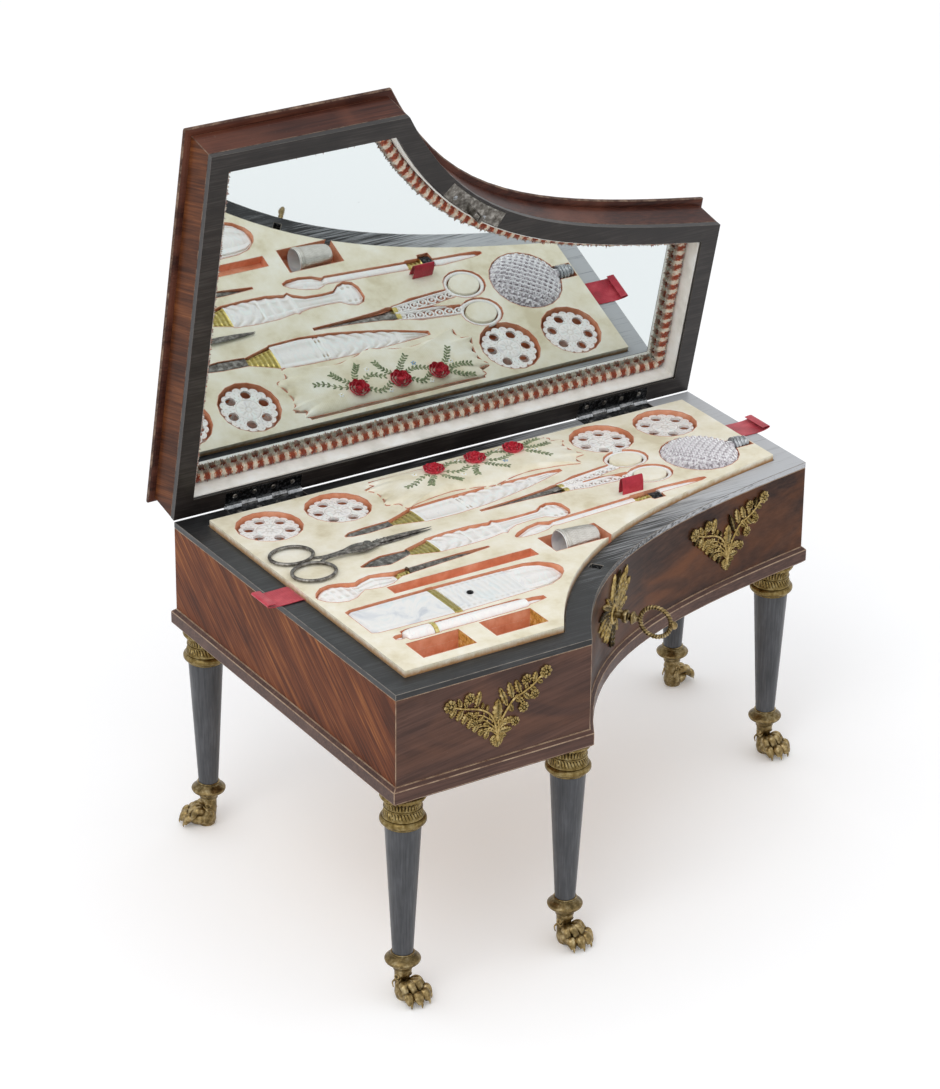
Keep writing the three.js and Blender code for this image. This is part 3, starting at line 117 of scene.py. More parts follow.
aim(camera, target=(-0.0065, 0.05466, 0.1316), distance=1.8912, azimuth=-32.53, elevation=26.10, roll=0.61)
print("camera at", [round(v, 3) for v in camera.location])

# %% [markdown]
# ## Floor and light
# The box stands on a white sheet in a bright studio. The world is a plain white dome, and a large soft
# lamp from the front left gives the wood its sheen. Rays that come straight from the camera, from a
# mirror or through glass see the dome at full white and the sheet a little lifted, so only soft shadows
# show.

# %% Floor, world and lamps
def linear(colour):
    """Turns a written sRGB hex colour into the linear numbers that shaders use."""
    v = np.array([int(colour[i:i + 2], 16) / 255 for i in (1, 3, 5)])
    v = np.where(v <= 0.04045, v / 12.92, ((v + 0.055) / 1.055) ** 2.4)
    return (*v.tolist(), 1.0)


def add(tree, kind, sockets=None, **settings):
    """Adds a shader node, sets its settings, and fills its sockets with values or other nodes' outputs."""
    node = tree.nodes.new("ShaderNode" + kind)
    for name, value in settings.items():
        setattr(node, name, value)
    for name, value in (sockets or {}).items():
        if isinstance(value, bpy.types.NodeSocket):
            tree.links.new(value, node.inputs[name])
        else:
            node.inputs[name].default_value = value
    return node


def maths(tree, operation, *values):
    """The result of one sum on values or other nodes' outputs."""
    return add(tree, "Math", dict(enumerate(values)), operation=operation).outputs[0]


def between(tree, value, low, high, to_low=0.0, to_high=1.0):
    """Spreads a value from one span to another."""
    return add(tree, "MapRange", {"Value": value, "From Min": low, "From Max": high, "To Min": to_low,
                                  "To Max": to_high}).outputs[0]


def seen_level(tree, unseen, seen):
    """One level for rays that only carry light, and another for rays from the camera, a mirror or glass."""
    rays = add(tree, "LightPath").outputs
    looked = maths(tree, "MAXIMUM", rays["Is Camera Ray"], rays["Is Glossy Ray"])
    looked = maths(tree, "MAXIMUM", looked, rays["Is Transmission Ray"])
    return between(tree, looked, 0, 1, unseen, seen)


def finish_of(name, colour, roughness, metallic=0.0, **sockets):
    """A material with its shader; further sockets are set by name, with underscores for spaces."""
    material = bpy.data.materials.new(name)
    material.use_nodes = True
    tree = material.node_tree
    shader = tree.nodes["Principled BSDF"]
    values = {"Base_Color": linear(colour), "Roughness": roughness, "Metallic": metallic, **sockets}
    for key, value in values.items():
        shader.inputs[key.replace("_", " ")].default_value = value
    return material, tree, shader


world = bpy.data.worlds.new("white_dome")
scene.world = world
world.use_nodes = True
sky = world.node_tree
sky.nodes.clear()
glow = add(sky, "Background", {"Color": linear("#fcfdff"), "Strength": seen_level(sky, 0.93, 1.0)})
add(sky, "OutputWorld", {"Surface": glow.outputs[0]})
softbox = bpy.data.lights.new("key_softbox", "AREA")
softbox.shape, softbox.size, softbox.energy = "DISK", 1.1, 7
aim(new_object("key_softbox", softbox), target=(0, 0, 0.1), distance=1.9, azimuth=-60, elevation=50)

FLOOR_REACH = 30
floor_mesh = bpy.data.meshes.new("floor")
floor_corners = [(x * FLOOR_REACH, y * FLOOR_REACH, 0) for x, y in ((-1, -1), (1, -1), (1, 1), (-1, 1))]
floor_mesh.from_pydata(floor_corners, [], [(0, 1, 2, 3)])
new_object("floor", floor_mesh)
paper, tree, shader = finish_of("studio_paper", "#ffffff", 0.7, Specular_IOR_Level=0.1,
                                Emission_Color=linear("#ffffff"))
tree.links.new(seen_level(tree, 0.0, 0.07), shader.inputs["Emission Strength"])
floor_mesh.materials.append(paper)
print("lamps", len(bpy.data.lights))

# %% [markdown]
# ## Surfaces
# Every new shape is a grid of points, worked out as whole arrays. A surface here is a pair: its points
# and its four-sided faces. A grid that goes all the way round simply ends where it began, and the
# doubled points are merged when the piece is made, so every piece ends up closed.

# %% Grids, joining and placing
def skin(points):
    """A surface from a grid of points (rows, columns, xyz); each small square of the grid is one face."""
    points = np.asarray(points, float)
    rows, columns = points.shape[:2]
    i, j = np.meshgrid(np.arange(rows - 1), np.arange(columns - 1), indexing="ij")
    first = i * columns + j
    faces = np.stack([first, first + 1, first + columns + 1, first + columns], -1).reshape(-1, 4)
    return points.reshape(-1, 3), faces


def joined(*surfaces):
    """Several surfaces as one: points in a row, faces counted on."""
    starts = np.cumsum([0] + [len(p) for p, _ in surfaces[:-1]])
    faces = [f + start for (_, f), start in zip(surfaces, starts)]
    return np.concatenate([p for p, _ in surfaces]), np.concatenate(faces)


def stretched(surface, factors):
    """A surface whose points are multiplied along each axis."""
    return surface[0] * np.array(factors), surface[1]


def moved(surface, by=(0, 0, 0), turn=0.0):
    """A surface turned about z by degrees and then shifted."""
    a = math.radians(turn)
    p = surface[0] @ np.array([[math.cos(a), math.sin(a), 0], [-math.sin(a), math.cos(a), 0], [0, 0, 1]])
    return p + np.asarray(by, float), surface[1]


def flowing(rows, count):
    """A smooth line through rows of numbers: between two rows, the cubic with its neighbours' slopes."""
    rows = np.asarray(rows, float)
    at = np.linspace(0, len(rows) - 1, count)
    k = np.clip(at.astype(int), 0, len(rows) - 2)
    t = (at - k)[:, None]
    padded = np.vstack([2 * rows[0] - rows[1], rows, 2 * rows[-1] - rows[-2]])
    a, b, c, d = (padded[k + i] for i in range(4))
    return 0.5 * (2 * b + (c - a) * t + (2 * a - 5 * b + 4 * c - d) * t**2 + (3 * b - a - 3 * c + d) * t**3)


def swelling(values, count):
    """The same smooth line for single numbers, such as the half widths of a blade."""
    return flowing(np.array(values)[:, None], count)[:, 0]


def around(steps):
    """Angles that go once round, the last one again at the first place."""
    return np.linspace(0, FULL, steps + 1)


def tube(path, radius, sides=10, up=(0, 0, 1), flat=1.0):
    """A bar along a path: ring = centre + radius * (cos a * side + flat * sin a * lift), ends closed."""
    path = np.asarray(path, float)
    radius = np.broadcast_to(np.asarray(radius, float), (len(path),))
    way = np.gradient(path, axis=0)
    way /= np.linalg.norm(way, axis=1)[:, None] + 1e-12
    side = np.cross(way, up)
    side /= np.linalg.norm(side, axis=1)[:, None] + 1e-12
    lift = np.cross(side, way)
    a = around(sides)
    ring = np.cos(a)[:, None] * side[:, None] + flat * np.sin(a)[:, None] * lift[:, None]
    body = path[:, None] + radius[:, None, None] * ring
    ends = [np.repeat(path[k][None], sides + 1, 0)[None] for k in (0, -1)]
    return skin(np.concatenate([ends[0], body, ends[1]]))


def wire(rows, count, level, radius, sides, flat=1.0):
    """A bar along a smooth line through rows of x and y, all at one height."""
    return tube(np.column_stack([flowing(rows, count), np.full(count, level)]), radius, sides, flat=flat)


def turned(profile, steps, swell=None):
    """A shape turned about z: rows of radius and height; swell(angle, row share) multiplies the radius."""
    profile = np.asarray(profile, float)
    a = around(steps)
    share = np.linspace(0, 1, len(profile))[:, None]
    radius = profile[:, :1] * (swell(a[None], share) if swell else np.ones((1, len(a))))
    height = np.broadcast_to(profile[:, 1:], radius.shape)
    return skin(np.stack([radius * np.cos(a), radius * np.sin(a), height], -1))


def blob(radius, stretch=(1, 1, 1), steps=10):
    """A small ball or bead, stretched along its axes."""
    t = np.linspace(0, math.pi, steps)
    return stretched(turned(np.stack([np.sin(t), -np.cos(t)], -1) * radius, steps), stretch)


print("shapes: skin, tube, wire, turned, blob")

# %% [markdown]
# ## Making a piece
# A piece is one object in Blender. It rides on a CAD body, so it moves with the lid, the tray or its own
# lift, and the CAD nodes it stands for are hidden. Points that fall together are merged and all faces are
# turned outwards before it is shaded smooth, with sharp edges kept where two faces meet steeply.

# %% Pieces and dressed nodes
@contextmanager
def opened(source, target=None):
    """Opens a mesh for work, its coinciding points merged, and writes it back or to another one."""
    work = bmesh.new()
    work.from_mesh(source)
    bmesh.ops.remove_doubles(work, verts=work.verts, dist=2e-6)
    yield work
    work.to_mesh(source if target is None else target)
    work.free()


def vectors(items, kind):
    """One vector of each point or face of a mesh, as rows."""
    values = np.zeros(len(items) * 3)
    items.foreach_get(kind, values)
    return values.reshape(-1, 3)


def finished(name, mesh, materials, body, nodes=(), sharp=38):
    """Shades a mesh, gives it its materials and lets it ride on its body in place of its CAD nodes."""
    for material in materials:
        mesh.materials.append(material)
    mesh.polygons.foreach_set("use_smooth", np.ones(len(mesh.polygons), bool))
    mesh.set_sharp_from_angle(angle=math.radians(sharp))
    obj = new_object(name, mesh)
    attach(obj, body)
    if nodes:
        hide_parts(*nodes)
    return obj


def piece(name, parts, body, nodes=(), sharp=38):
    """Builds an object from pairs of surface and material; points are in metres, in the row frame."""
    surfaces = [s for s, _ in parts]
    points, faces = joined(*surfaces)
    materials = list(dict.fromkeys(m for _, m in parts))
    which = np.repeat([materials.index(m) for _, m in parts], [len(f) for _, f in surfaces])
    mesh = bpy.data.meshes.new(name)
    mesh.from_pydata(points.tolist(), [], faces.tolist())
    mesh.polygons.foreach_set("material_index", which.astype(np.int32))
    with opened(mesh) as work:
        bmesh.ops.dissolve_degenerate(work, edges=work.edges, dist=1e-7)
        bmesh.ops.recalc_face_normals(work, faces=work.faces)
    return finished(name, mesh, materials, body, nodes, sharp)


def dressed(node, materials, choose=None, ease=0.0, edge_wear_and_highlight=None):
    """A CAD node with its loose triangles joined and its edges eased; choose(normals, centres) picks the
    material of each face, and the last argument is the material of the eased edges: rubbed pale wood
    with a painted highlight."""
    mesh = frame["nodes"][node].data.copy()
    mesh.materials.clear()
    if "custom_normal" in mesh.attributes:
        mesh.attributes.remove(mesh.attributes["custom_normal"])
    with opened(mesh) as work:
        bmesh.ops.dissolve_limit(work, angle_limit=math.radians(0.5), verts=work.verts, edges=work.edges)
    if choose:
        picked = choose(vectors(mesh.polygons, "normal"), vectors(mesh.polygons, "center"))
        mesh.polygons.foreach_set("material_index", picked.astype(np.int32))
    looks = materials + ([edge_wear_and_highlight] if edge_wear_and_highlight else [])
    obj = finished(node + "_dressed", mesh, looks, frame["nodes"][node]["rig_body"], [node], 32)
    if ease:
        edge = obj.modifiers.new("eased_edges", "BEVEL")
        edge.width, edge.segments, edge.limit_method = ease, 2, "ANGLE"
        edge.angle_limit = math.radians(38)
        edge.use_clamp_overlap = True
        # The eased edges are rubbed pale wood with a painted highlight.
        if edge_wear_and_highlight:
            edge.material = len(materials)
    return obj


print("makers: piece, dressed")

# %% [markdown]
# ## Places on the box
# The CAD is drawn from the back left corner of the case: x along the hinge edge, y towards the viewer
# below zero, z from the floor. These helpers put points in millimetres of that drawing into the row
# frame, and the same for the lid, which is drawn shut and then swung open on its hinges.

# %% The drawing's corner, the bent side and the lid
case_low, case_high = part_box("case_carcass")
corner = np.array([case_low.x, case_high.y, 0.0])
tray_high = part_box("tray_board")[1].z
tray_top = tray_high / MM
case_wide = (case_high.x - case_low.x) / MM
case_deep = (case_high.y - case_low.y) / MM
joints = {j["name"]: j for j in frame["joints"]}
hinge_at = joints["lid_hinge"]["pos_m"]
hinge_high = hinge_at[2] / MM
LID_OPEN = math.radians(77)
short_side, straight_front = 101.5, 103.7
bent_ends = np.array([[straight_front, -case_deep], [case_wide, -short_side]])
bent_shares = np.array([[0, 0], [0.2, 0.659], [0.46, 0.825], [1, 1]])
knots = bent_ends[0] + bent_shares * (bent_ends[1] - bent_ends[0])
t = np.linspace(0, 1, 1200)[:, None]
weights = ((1 - t)**3, 3 * (1 - t)**2 * t, 3 * (1 - t) * t**2, t**3)
bent_line = sum(weight * knot for weight, knot in zip(weights, knots))


def walk(line):
    """How far along a line of points each one lies."""
    return np.concatenate([[0], np.cumsum(np.linalg.norm(np.diff(line, axis=0), axis=1))])


bent_run = walk(bent_line)
bent_way = np.gradient(bent_line, axis=0)
bent_way /= np.linalg.norm(bent_way, axis=1)[:, None]
bent_length = bent_run[-1]


def at_bent(run):
    """Places and directions on the bent side, for distances along it."""
    return (np.interp(run, bent_run, line) for line in (*bent_line.T, *bent_way.T))


def place(surface):
    """From millimetres of the drawing to the row frame."""
    return corner + surface[0] * MM, surface[1]


def put(surface, by, turn=0.0):
    """The same after turning it about z by degrees and shifting it."""
    return place(moved(surface, by, turn))


def span(node):
    """The lowest and highest corner of a CAD node in millimetres of the drawing."""
    return [(np.array([*end]) - corner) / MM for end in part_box(node)]


def spot(node):
    """The middle of a CAD node in millimetres of the drawing."""
    return sum(span(node)) / 2


def on_lid(surface):
    """The same as place, for a surface drawn on the shut lid, with z up from the hinge axis."""
    x, y, z = surface[0].T
    c, s = math.cos(LID_OPEN), math.sin(LID_OPEN)
    return place((np.stack([x, y * c + z * s, hinge_high - y * s + z * c], -1), surface[1]))


def on_front(surface, x, z):
    """A surface drawn flat, with u to the right, v up and w outwards, stood against the straight front."""
    u, v, w = surface[0].T
    return place((np.stack([x + u, -case_deep - w, z + v], -1), surface[1]))


def on_bent(surface, run, z, out=0.25):
    """The same, wrapped round the bent side: u runs along the wall."""
    u, v, w = surface[0].T
    x, y, dx, dy = at_bent(run + u)
    return place((np.stack([x + dy * (w + out), y - dx * (w + out), z + v], -1), surface[1]))


def plan(inset, count):
    """The case's outline in plan, moved in: back, left, front, bent side and right, as count points."""
    wide = 60
    run = np.linspace(-wide, bent_length + wide, 900)
    x, y, dx, dy = at_bent(run)
    beyond = run - np.clip(run, 0, bent_length)
    x, y = x + dx * beyond - dy * inset, y + dy * beyond + dx * inset
    kept = (y > -case_deep + inset) & (x < case_wide - inset)
    curve = np.stack([x, y], -1)[kept]
    left, front, right = inset, -case_deep + inset, case_wide - inset
    ends = [[left, -inset], [left, front], [curve[0][0], front], *curve[::6], [right, curve[-1][1]],
            [right, -inset], [left, -inset]]
    line = np.array(ends, float)
    walked = walk(line)
    at = np.linspace(0, walked[-1], count)
    return np.stack([np.interp(at, walked, line[:, k]) for k in (0, 1)], -1), walked[-1]


print("bent side", round(bent_length, 1), "mm, tray top", round(tray_top, 1), "mm")

# %% [markdown]
# ## Materials
# Each finish starts from what the real one is. The patterns are read in object coordinates, in metres,
# and their sizes are written in millimetres. A few small functions make noise, bands of colour, mixing
# and fine relief for all of them.

# %% Patterns, bands and relief
def pattern(tree, size_mm, turn=(0, 0, 0), stretch=(1, 1, 1), detail=3.0, roughness=0.5, distortion=0.0):
    """Noise of a given size in millimetres, turned (degrees) and stretched along its axes."""
    place_in = add(tree, "TexCoord").outputs["Object"]
    scale = [1 / (s * size_mm * MM) for s in stretch]
    mapping = add(tree, "Mapping", {"Vector": place_in, "Rotation": [math.radians(a) for a in turn]})
    stretched = add(tree, "Mapping", {"Vector": mapping.outputs[0], "Scale": scale})
    noise = add(tree, "TexNoise", {"Vector": stretched.outputs[0], "Scale": 1.0, "Detail": detail,
                                   "Roughness": roughness, "Distortion": distortion})
    return noise.outputs["Fac"]


def shades(tree, value, stops):
    """Colours along a value: stops of place and hex colour."""
    ramp = add(tree, "ValToRGB", {"Fac": value})
    band = ramp.color_ramp
    while len(band.elements) < len(stops):
        band.elements.new(0.5)
    for element, (at, colour) in zip(band.elements, stops):
        element.position = at
        element.color = linear(colour)
    return ramp.outputs[0]


def blended(tree, share, first, second):
    """Mixes two colours by a share."""
    mixer = add(tree, "Mix", {"Factor": share}, data_type="RGBA")
    for socket, value in ((mixer.inputs[6], first), (mixer.inputs[7], second)):
        if isinstance(value, bpy.types.NodeSocket):
            tree.links.new(value, socket)
        else:
            socket.default_value = linear(value)
    return mixer.outputs[2]


def hollows(tree, low, high):
    """0 in the hollows of a shape and 1 on what stands out, from the bend of the surface."""
    return between(tree, add(tree, "NewGeometry").outputs["Pointiness"], low, high)


def relief(tree, shader, height, depth_mm, strength=1.0):
    """Presses a value into the surface as fine relief of a depth in millimetres."""
    bump = add(tree, "Bump", {"Height": height, "Distance": depth_mm * MM, "Strength": strength})
    tree.links.new(bump.outputs[0], shader.inputs["Normal"])


def coloured(tree, shader, colour):
    """Gives the shader a worked-out base colour."""
    tree.links.new(colour, shader.inputs["Base Color"])


print("finish helpers ready")

# %% [markdown]
# ### Mahogany veneer
# The case is veneered. On the left side the grain runs aslant in narrow light and dark stripes, on the
# lid it stands upright, and the front and the bent side have dark figured wood with a warm flame and
# fine scratches. Stripes are noise stretched forty times along the grain, mixed with broader figure;
# the polish is a thin coat.

# %% Veneers
def veneer(name, turn, stops, stripe_mm=1.1, flame=None, coat=0.05):
    """Colour = bands of 0.62 * stripes + 0.42 * figure, with a flame, dark pores and pale scratches."""
    material, tree, shader = finish_of(name, stops[1][1], 0.42, Coat_Weight=coat, Coat_Roughness=0.14,
                                       Specular_IOR_Level=0.07)
    stripes = pattern(tree, stripe_mm, turn, (1, 42, 1), 5, 0.62)
    figure = pattern(tree, 13, turn, (1, 3.5, 1), 3, 0.5, 0.6)
    share = maths(tree, "MULTIPLY_ADD", figure, 0.42, maths(tree, "MULTIPLY", stripes, 0.62))
    colour = shades(tree, share, stops)
    if flame:
        patch = pattern(tree, 40, (0, 0, 0), (1.4, 1.4, 0.6), 3, 0.5, 0.9)
        colour = blended(tree, between(tree, patch, 0.46, 0.7, 0, 0.65), colour, flame)
    pores = pattern(tree, 0.5, turn, (1, 12, 1), 2, 0.5)
    colour = blended(tree, between(tree, pores, 0.6, 0.78, 0, 0.4), colour, "#2a1710")
    scratch = pattern(tree, 0.35, (0, 40, 25), (1, 90, 1), 2, 0.6, 0.4)
    coloured(tree, shader, blended(tree, between(tree, scratch, 0.72, 0.8, 0, 0.35), colour, "#b3a191"))
    relief(tree, shader, stripes, 0.04, 0.3)
    return material


side_stops = [(0.33, "#351709"), (0.46, "#51260f"), (0.56, "#6b371a"), (0.68, "#92592d")]
front_stops = [(0.33, "#382823"), (0.47, "#48332c"), (0.6, "#583f36"), (0.72, "#664c41")]
bent_stops = [(0.33, "#211410"), (0.47, "#311f18"), (0.6, "#412b21"), (0.72, "#53392b")]
lid_stops = [(0.33, "#2c1409"), (0.46, "#452310"), (0.58, "#5f341a"), (0.7, "#7d4a28")]
frame_stops = [(0.33, "#24110d"), (0.47, "#381c15"), (0.6, "#4c281d"), (0.72, "#633a2b")]
veneer_side = veneer("mahogany_striped", (-38, 0, 0), side_stops)
veneer_front = veneer("mahogany_figured", (0, 8, 90), front_stops, 1.6, "#6c4938", 0.2)
veneer_bent = veneer("mahogany_bent_side", (0, 4, 60), bent_stops, 1.6, "#744424", 0.15)
veneer_lid = veneer("mahogany_lid", (12, 0, 0), lid_stops)
veneer_frame = veneer("mahogany_lid_frame", (0, 0, 90), frame_stops, 1.1, "#6c3f2e", 0.15)
veneer_dark = veneer("mahogany_moulding", (0, 0, 90), front_stops, 1.0, None, 0.25)
print("veneers 6")

# %% [markdown]
# ### Ebonised wood, its painted sheen, and worn edges with a painted highlight
# The rims and the turned legs are pearwood stained black and waxed. It is never quite black: fine
# grain, dust and rubbed places make it a soft charcoal, and towards the right end of the case a silvery,
# streaked painted sheen stands for the reflection on the waxed rim. Edges that hands touch have lost
# their stain and show the pale wood, with a painted highlight along them.

# %% Ebonised wood
def ebonised(name, turn, stops, silver=False):
    """Colour = bands of 0.6 * grain + 0.4 * cloud; silver adds streaks of painted sheen that grow
    towards the right end.
    """
    material, tree, shader = finish_of(name, stops[1][1], 0.36, Coat_Weight=0.1, Coat_Roughness=0.25,
                                       Specular_IOR_Level=0.3)
    grain = pattern(tree, 0.8, turn, (1, 40, 1), 4, 0.6)
    cloud = pattern(tree, 9, turn, (1, 2, 1), 3, 0.6)
    share = maths(tree, "MULTIPLY_ADD", cloud, 0.4, maths(tree, "MULTIPLY", grain, 0.6))
    colour = shades(tree, share, stops)
    if silver:
        # Painted sheen: a silvery reflection painted into the colour, streaked by the grain and growing to
        # the right.
        along = add(tree, "SeparateXYZ", {"Vector": add(tree, "TexCoord").outputs["Object"]}).outputs[0]
        rubbed = maths(tree, "ADD", between(tree, along, -0.06, 0.12, -0.34, 0.3), grain)
        colour = blended(tree, between(tree, rubbed, 0.42, 0.72, 0, 0.85), colour, "#c3c5c8")
    coloured(tree, shader, colour)
    relief(tree, shader, grain, 0.05, 0.4)
    return material


def edge_wear_and_highlight_finish(name, base, pale_wood_and_highlight, low, high, size=7):
    """Wood whose polish has gone from the corners, with a painted highlight there: both show in long uneven
    patches.
    """
    material, tree, shader = finish_of(name, base, 0.5, Specular_IOR_Level=0.3)
    patch = pattern(tree, size, (0, 0, 0), (1, 1, 1), 5, 0.7)
    coloured(tree, shader, blended(tree, between(tree, patch, low, high), base, pale_wood_and_highlight))
    return material


black_stops = [(0.34, "#161516"), (0.5, "#232324"), (0.7, "#404142")]
lid_black = [(0.34, "#15110f"), (0.5, "#221d1b"), (0.7, "#3c3734")]
leg_stops = [(0.34, "#353638"), (0.5, "#434447"), (0.7, "#57585b")]
ebony_along = ebonised("ebonised_along", (0, 0, 90), black_stops, True)
ebony_across = ebonised("ebonised_across", (0, 0, 0), black_stops, True)
ebony_lid = ebonised("ebonised_lid", (0, 0, 90), lid_black)
ebony_leg = ebonised("ebonised_leg", (90, 0, 0), leg_stops)
# Edge finishes: pale rubbed wood mixed with a painted highlight along the edges.
edge_case = edge_wear_and_highlight_finish("mahogany_edge_wear_and_highlight", "#6b4c3a", "#a48c74", 0.32, 0.58)
edge_rim = edge_wear_and_highlight_finish("ebony_edge_wear_and_highlight", "#4b4846", "#8c857b", 0.32, 0.6, 6)
edge_lid = edge_wear_and_highlight_finish("lid_edge_wear_and_highlight", "#43281d", "#8d7460", 0.42, 0.66, 6)
pine, tree, shader = finish_of("pine", "#a98457", 0.6)
grain = pattern(tree, 2.2, (0, 0, 90), (1, 30, 1))
coloured(tree, shader, shades(tree, grain, [(0.35, "#8f6a40"), (0.65, "#bd9a6a")]))
print("ebonised woods 4, worn edges 3")

# %% [markdown]
# ### Metals
# The mounts are cast and chased bronze, once gilt: bright on the high places, brown in the hollows, where
# worn gilding, grime and painted shade are mixed. Pointiness tells the shader how much a place stands
# out, which is how gilding wears and where shade gathers. The steel of the tools is polished and a little
# tarnished, and the hinge leaves are nearly black.

# %% Gilt bronze and steels
def metal(name, stops, roughness, tarnish_mm=2.5, hollow_grime_and_shade=None):
    """Bands of tarnish, rougher where it is brighter, with grime and painted shade in the hollows."""
    material, tree, shader = finish_of(name, stops[-1][1], roughness, 1.0)
    stain = pattern(tree, tarnish_mm, detail=5, roughness=0.65)
    colour = shades(tree, stain, stops)
    if hollow_grime_and_shade:
        # The hollows take the darker colour: real grime and patina mixed with painted shade.
        colour = blended(tree, hollows(tree, 0.465, 0.55), hollow_grime_and_shade, colour)
    coloured(tree, shader, colour)
    rough = between(tree, stain, 0, 1, roughness - 0.08, roughness + 0.18)
    tree.links.new(rough, shader.inputs["Roughness"])
    relief(tree, shader, pattern(tree, 0.45, detail=2), 0.05, 0.5)
    return material


gilt = metal("gilt_bronze", [(0.35, "#806a3c"), (0.5, "#a8905a"), (0.68, "#d0bc88")], 0.34, hollow_grime_and_shade="#2b2213")
gilt_paw = metal("gilt_bronze_paw", [(0.35, "#6b5c3e"), (0.5, "#978156"), (0.68, "#cbb98f")], 0.34,
                 hollow_grime_and_shade="#241d13")
gilt_fine = metal("gilt_ferrule", [(0.35, "#b9a65a"), (0.5, "#d4c37a"), (0.7, "#ece0a8")], 0.3, 1.2,
                  "#8a7a3c")
silver = metal("bright_silver", [(0.35, "#cfcecb"), (0.5, "#e8e7e3"), (0.7, "#f9f8f5")], 0.3, 3, "#bdb6a8")
steel = metal("polished_steel", [(0.35, "#7d8082"), (0.5, "#a9acae"), (0.7, "#cfd1d3")], 0.24)
steel_dark = metal("tarnished_steel", [(0.35, "#4b4742"), (0.5, "#74706a"), (0.7, "#adaaa4")], 0.28)
iron = metal("blackened_iron", [(0.35, "#161617"), (0.5, "#2a2a2b"), (0.7, "#6a6c6e")], 0.34, 1.6)
print("metals 7")

# %% [markdown]
# ### Mother of pearl, glass and mirror
# Pearl is white shell with faint bands of pink and green and a bright skin; grime and painted shade
# darken its carving. The flask is lead glass cut all over: its colour is a painted reflection of the
# bright room, from lilac grey to white with the angle at which each facet is seen, with painted glints.
# The mirror is old silvering, a little specked.

# %% Pearl, cut glass, mirror and papers
def shell(name, stops, size, turn, hollow_grime_and_shade):
    """Slow bands of near-white tints under a bright skin, with grime and painted shade in the carving."""
    material, tree, shader = finish_of(name, stops[2][1], 0.22, Coat_Weight=0.4, Coat_Roughness=0.08)
    colour = shades(tree, pattern(tree, size, turn, (1, 2, 1), 3, 0.5, 1.4), stops)
    # The carving takes the darker colour: grime mixed with painted shade.
    coloured(tree, shader, blended(tree, hollows(tree, 0.45, 0.5), hollow_grime_and_shade, colour))
    relief(tree, shader, pattern(tree, 1.0, turn, (1, 3, 1), 2), 0.04, 0.4)
    return material


pearl_stops = [(0.3, "#e9e6e6"), (0.43, "#f8f5f0"), (0.52, "#f4efec"), (0.6, "#f1f5f2"), (0.72, "#fbf8f0")]
grey_stops = [(0.3, "#ccd0d6"), (0.45, "#e9eae9"), (0.55, "#f0eeea"), (0.66, "#e2e9e9"), (0.75, "#f7f5f0")]
pearl = shell("mother_of_pearl", pearl_stops, 4.5, (20, 35, 12), "#b3a48c")
pearl_grey = shell("grey_mother_of_pearl", grey_stops, 11, (10, 0, 25), "#b6ac9a")

crystal, tree, shader = finish_of("cut_glass", "#cfc6cb", 0.04, IOR=1.6, Coat_Weight=0.6)
# Painted reflection: lilac grey to white by the facing angle of each facet, and painted glints from noise.
facing = add(tree, "LayerWeight", {"Blend": 0.5}).outputs["Facing"]
painted_glints = between(tree, pattern(tree, 1.3, detail=1), 0.52, 0.6, 0, 0.4)
painted_room_reflection = shades(tree, facing, [(0.06, "#7d7479"), (0.26, "#d9d3d8"), (0.42, "#82797f"), (0.62, "#ffffff")])
coloured(tree, shader, blended(tree, painted_glints, painted_room_reflection, "#fbfafc"))

mirror_glass, tree, shader = finish_of("old_silvered_glass", "#e4eaea", 0.015, 1.0)
foxing = pattern(tree, 3.2, detail=6, roughness=0.7)
coloured(tree, shader, blended(tree, between(tree, foxing, 0.69, 0.76, 0, 0.5), "#e4eaea", "#6e6a62"))

lining, tree, shader = finish_of("lining_paper", "#eceae4", 0.8)
patchy = pattern(tree, 16, detail=4, roughness=0.6)
coloured(tree, shader, shades(tree, patchy, [(0.35, "#dcdad2"), (0.5, "#eceae3"), (0.62, "#f2f2ee")]))
relief(tree, shader, pattern(tree, 0.7, detail=3), 0.04, 0.5)
print("pearls 2, glass, mirror, paper")

# %% [markdown]
# ### Silk, coral paper, ribbon and threads
# The tray is covered in cream silk that has yellowed in clouds and is rolled over its edge, where its
# lower half is rubbed to a tan gilt border. The wells are lined with coral paper. A weave of a quarter
# of a millimetre would not show, so it is drawn at twice that size.

# %% Textiles
def woven(name, stops, cloud_mm=18, thread_mm=0.5, sheen=0.3, roughness=0.78, rubbed=None):
    """Clouded cloth; its relief is the higher of two sets of waves, one across the other."""
    material, tree, shader = finish_of(name, stops[len(stops) // 2][1], roughness, Sheen_Weight=sheen,
                                       Sheen_Roughness=0.4, Specular_IOR_Level=0.25)
    cloud = pattern(tree, cloud_mm, detail=5, roughness=0.62)
    place_in = add(tree, "TexCoord").outputs["Object"]
    colour = shades(tree, cloud, stops)
    if rubbed:
        high = add(tree, "SeparateXYZ", {"Vector": place_in}).outputs[2]
        uneven = maths(tree, "MULTIPLY_ADD", pattern(tree, 2.5, detail=4), 0.0022, high)
        share = between(tree, uneven, tray_high - 0.0016, tray_high + 0.0006, 1, 0)
        colour = blended(tree, share, colour, rubbed)
    coloured(tree, shader, colour)
    scale = 1 / (thread_mm * MM * FULL / 2) / 2
    waves = {"Vector": place_in, "Scale": scale, "Distortion": 0.6, "Detail": 1.0}
    threads = [add(tree, "TexWave", waves, bands_direction=axis).outputs["Fac"] for axis in ("X", "Y")]
    relief(tree, shader, maths(tree, "MAXIMUM", *threads), 0.08, 0.5)
    return material


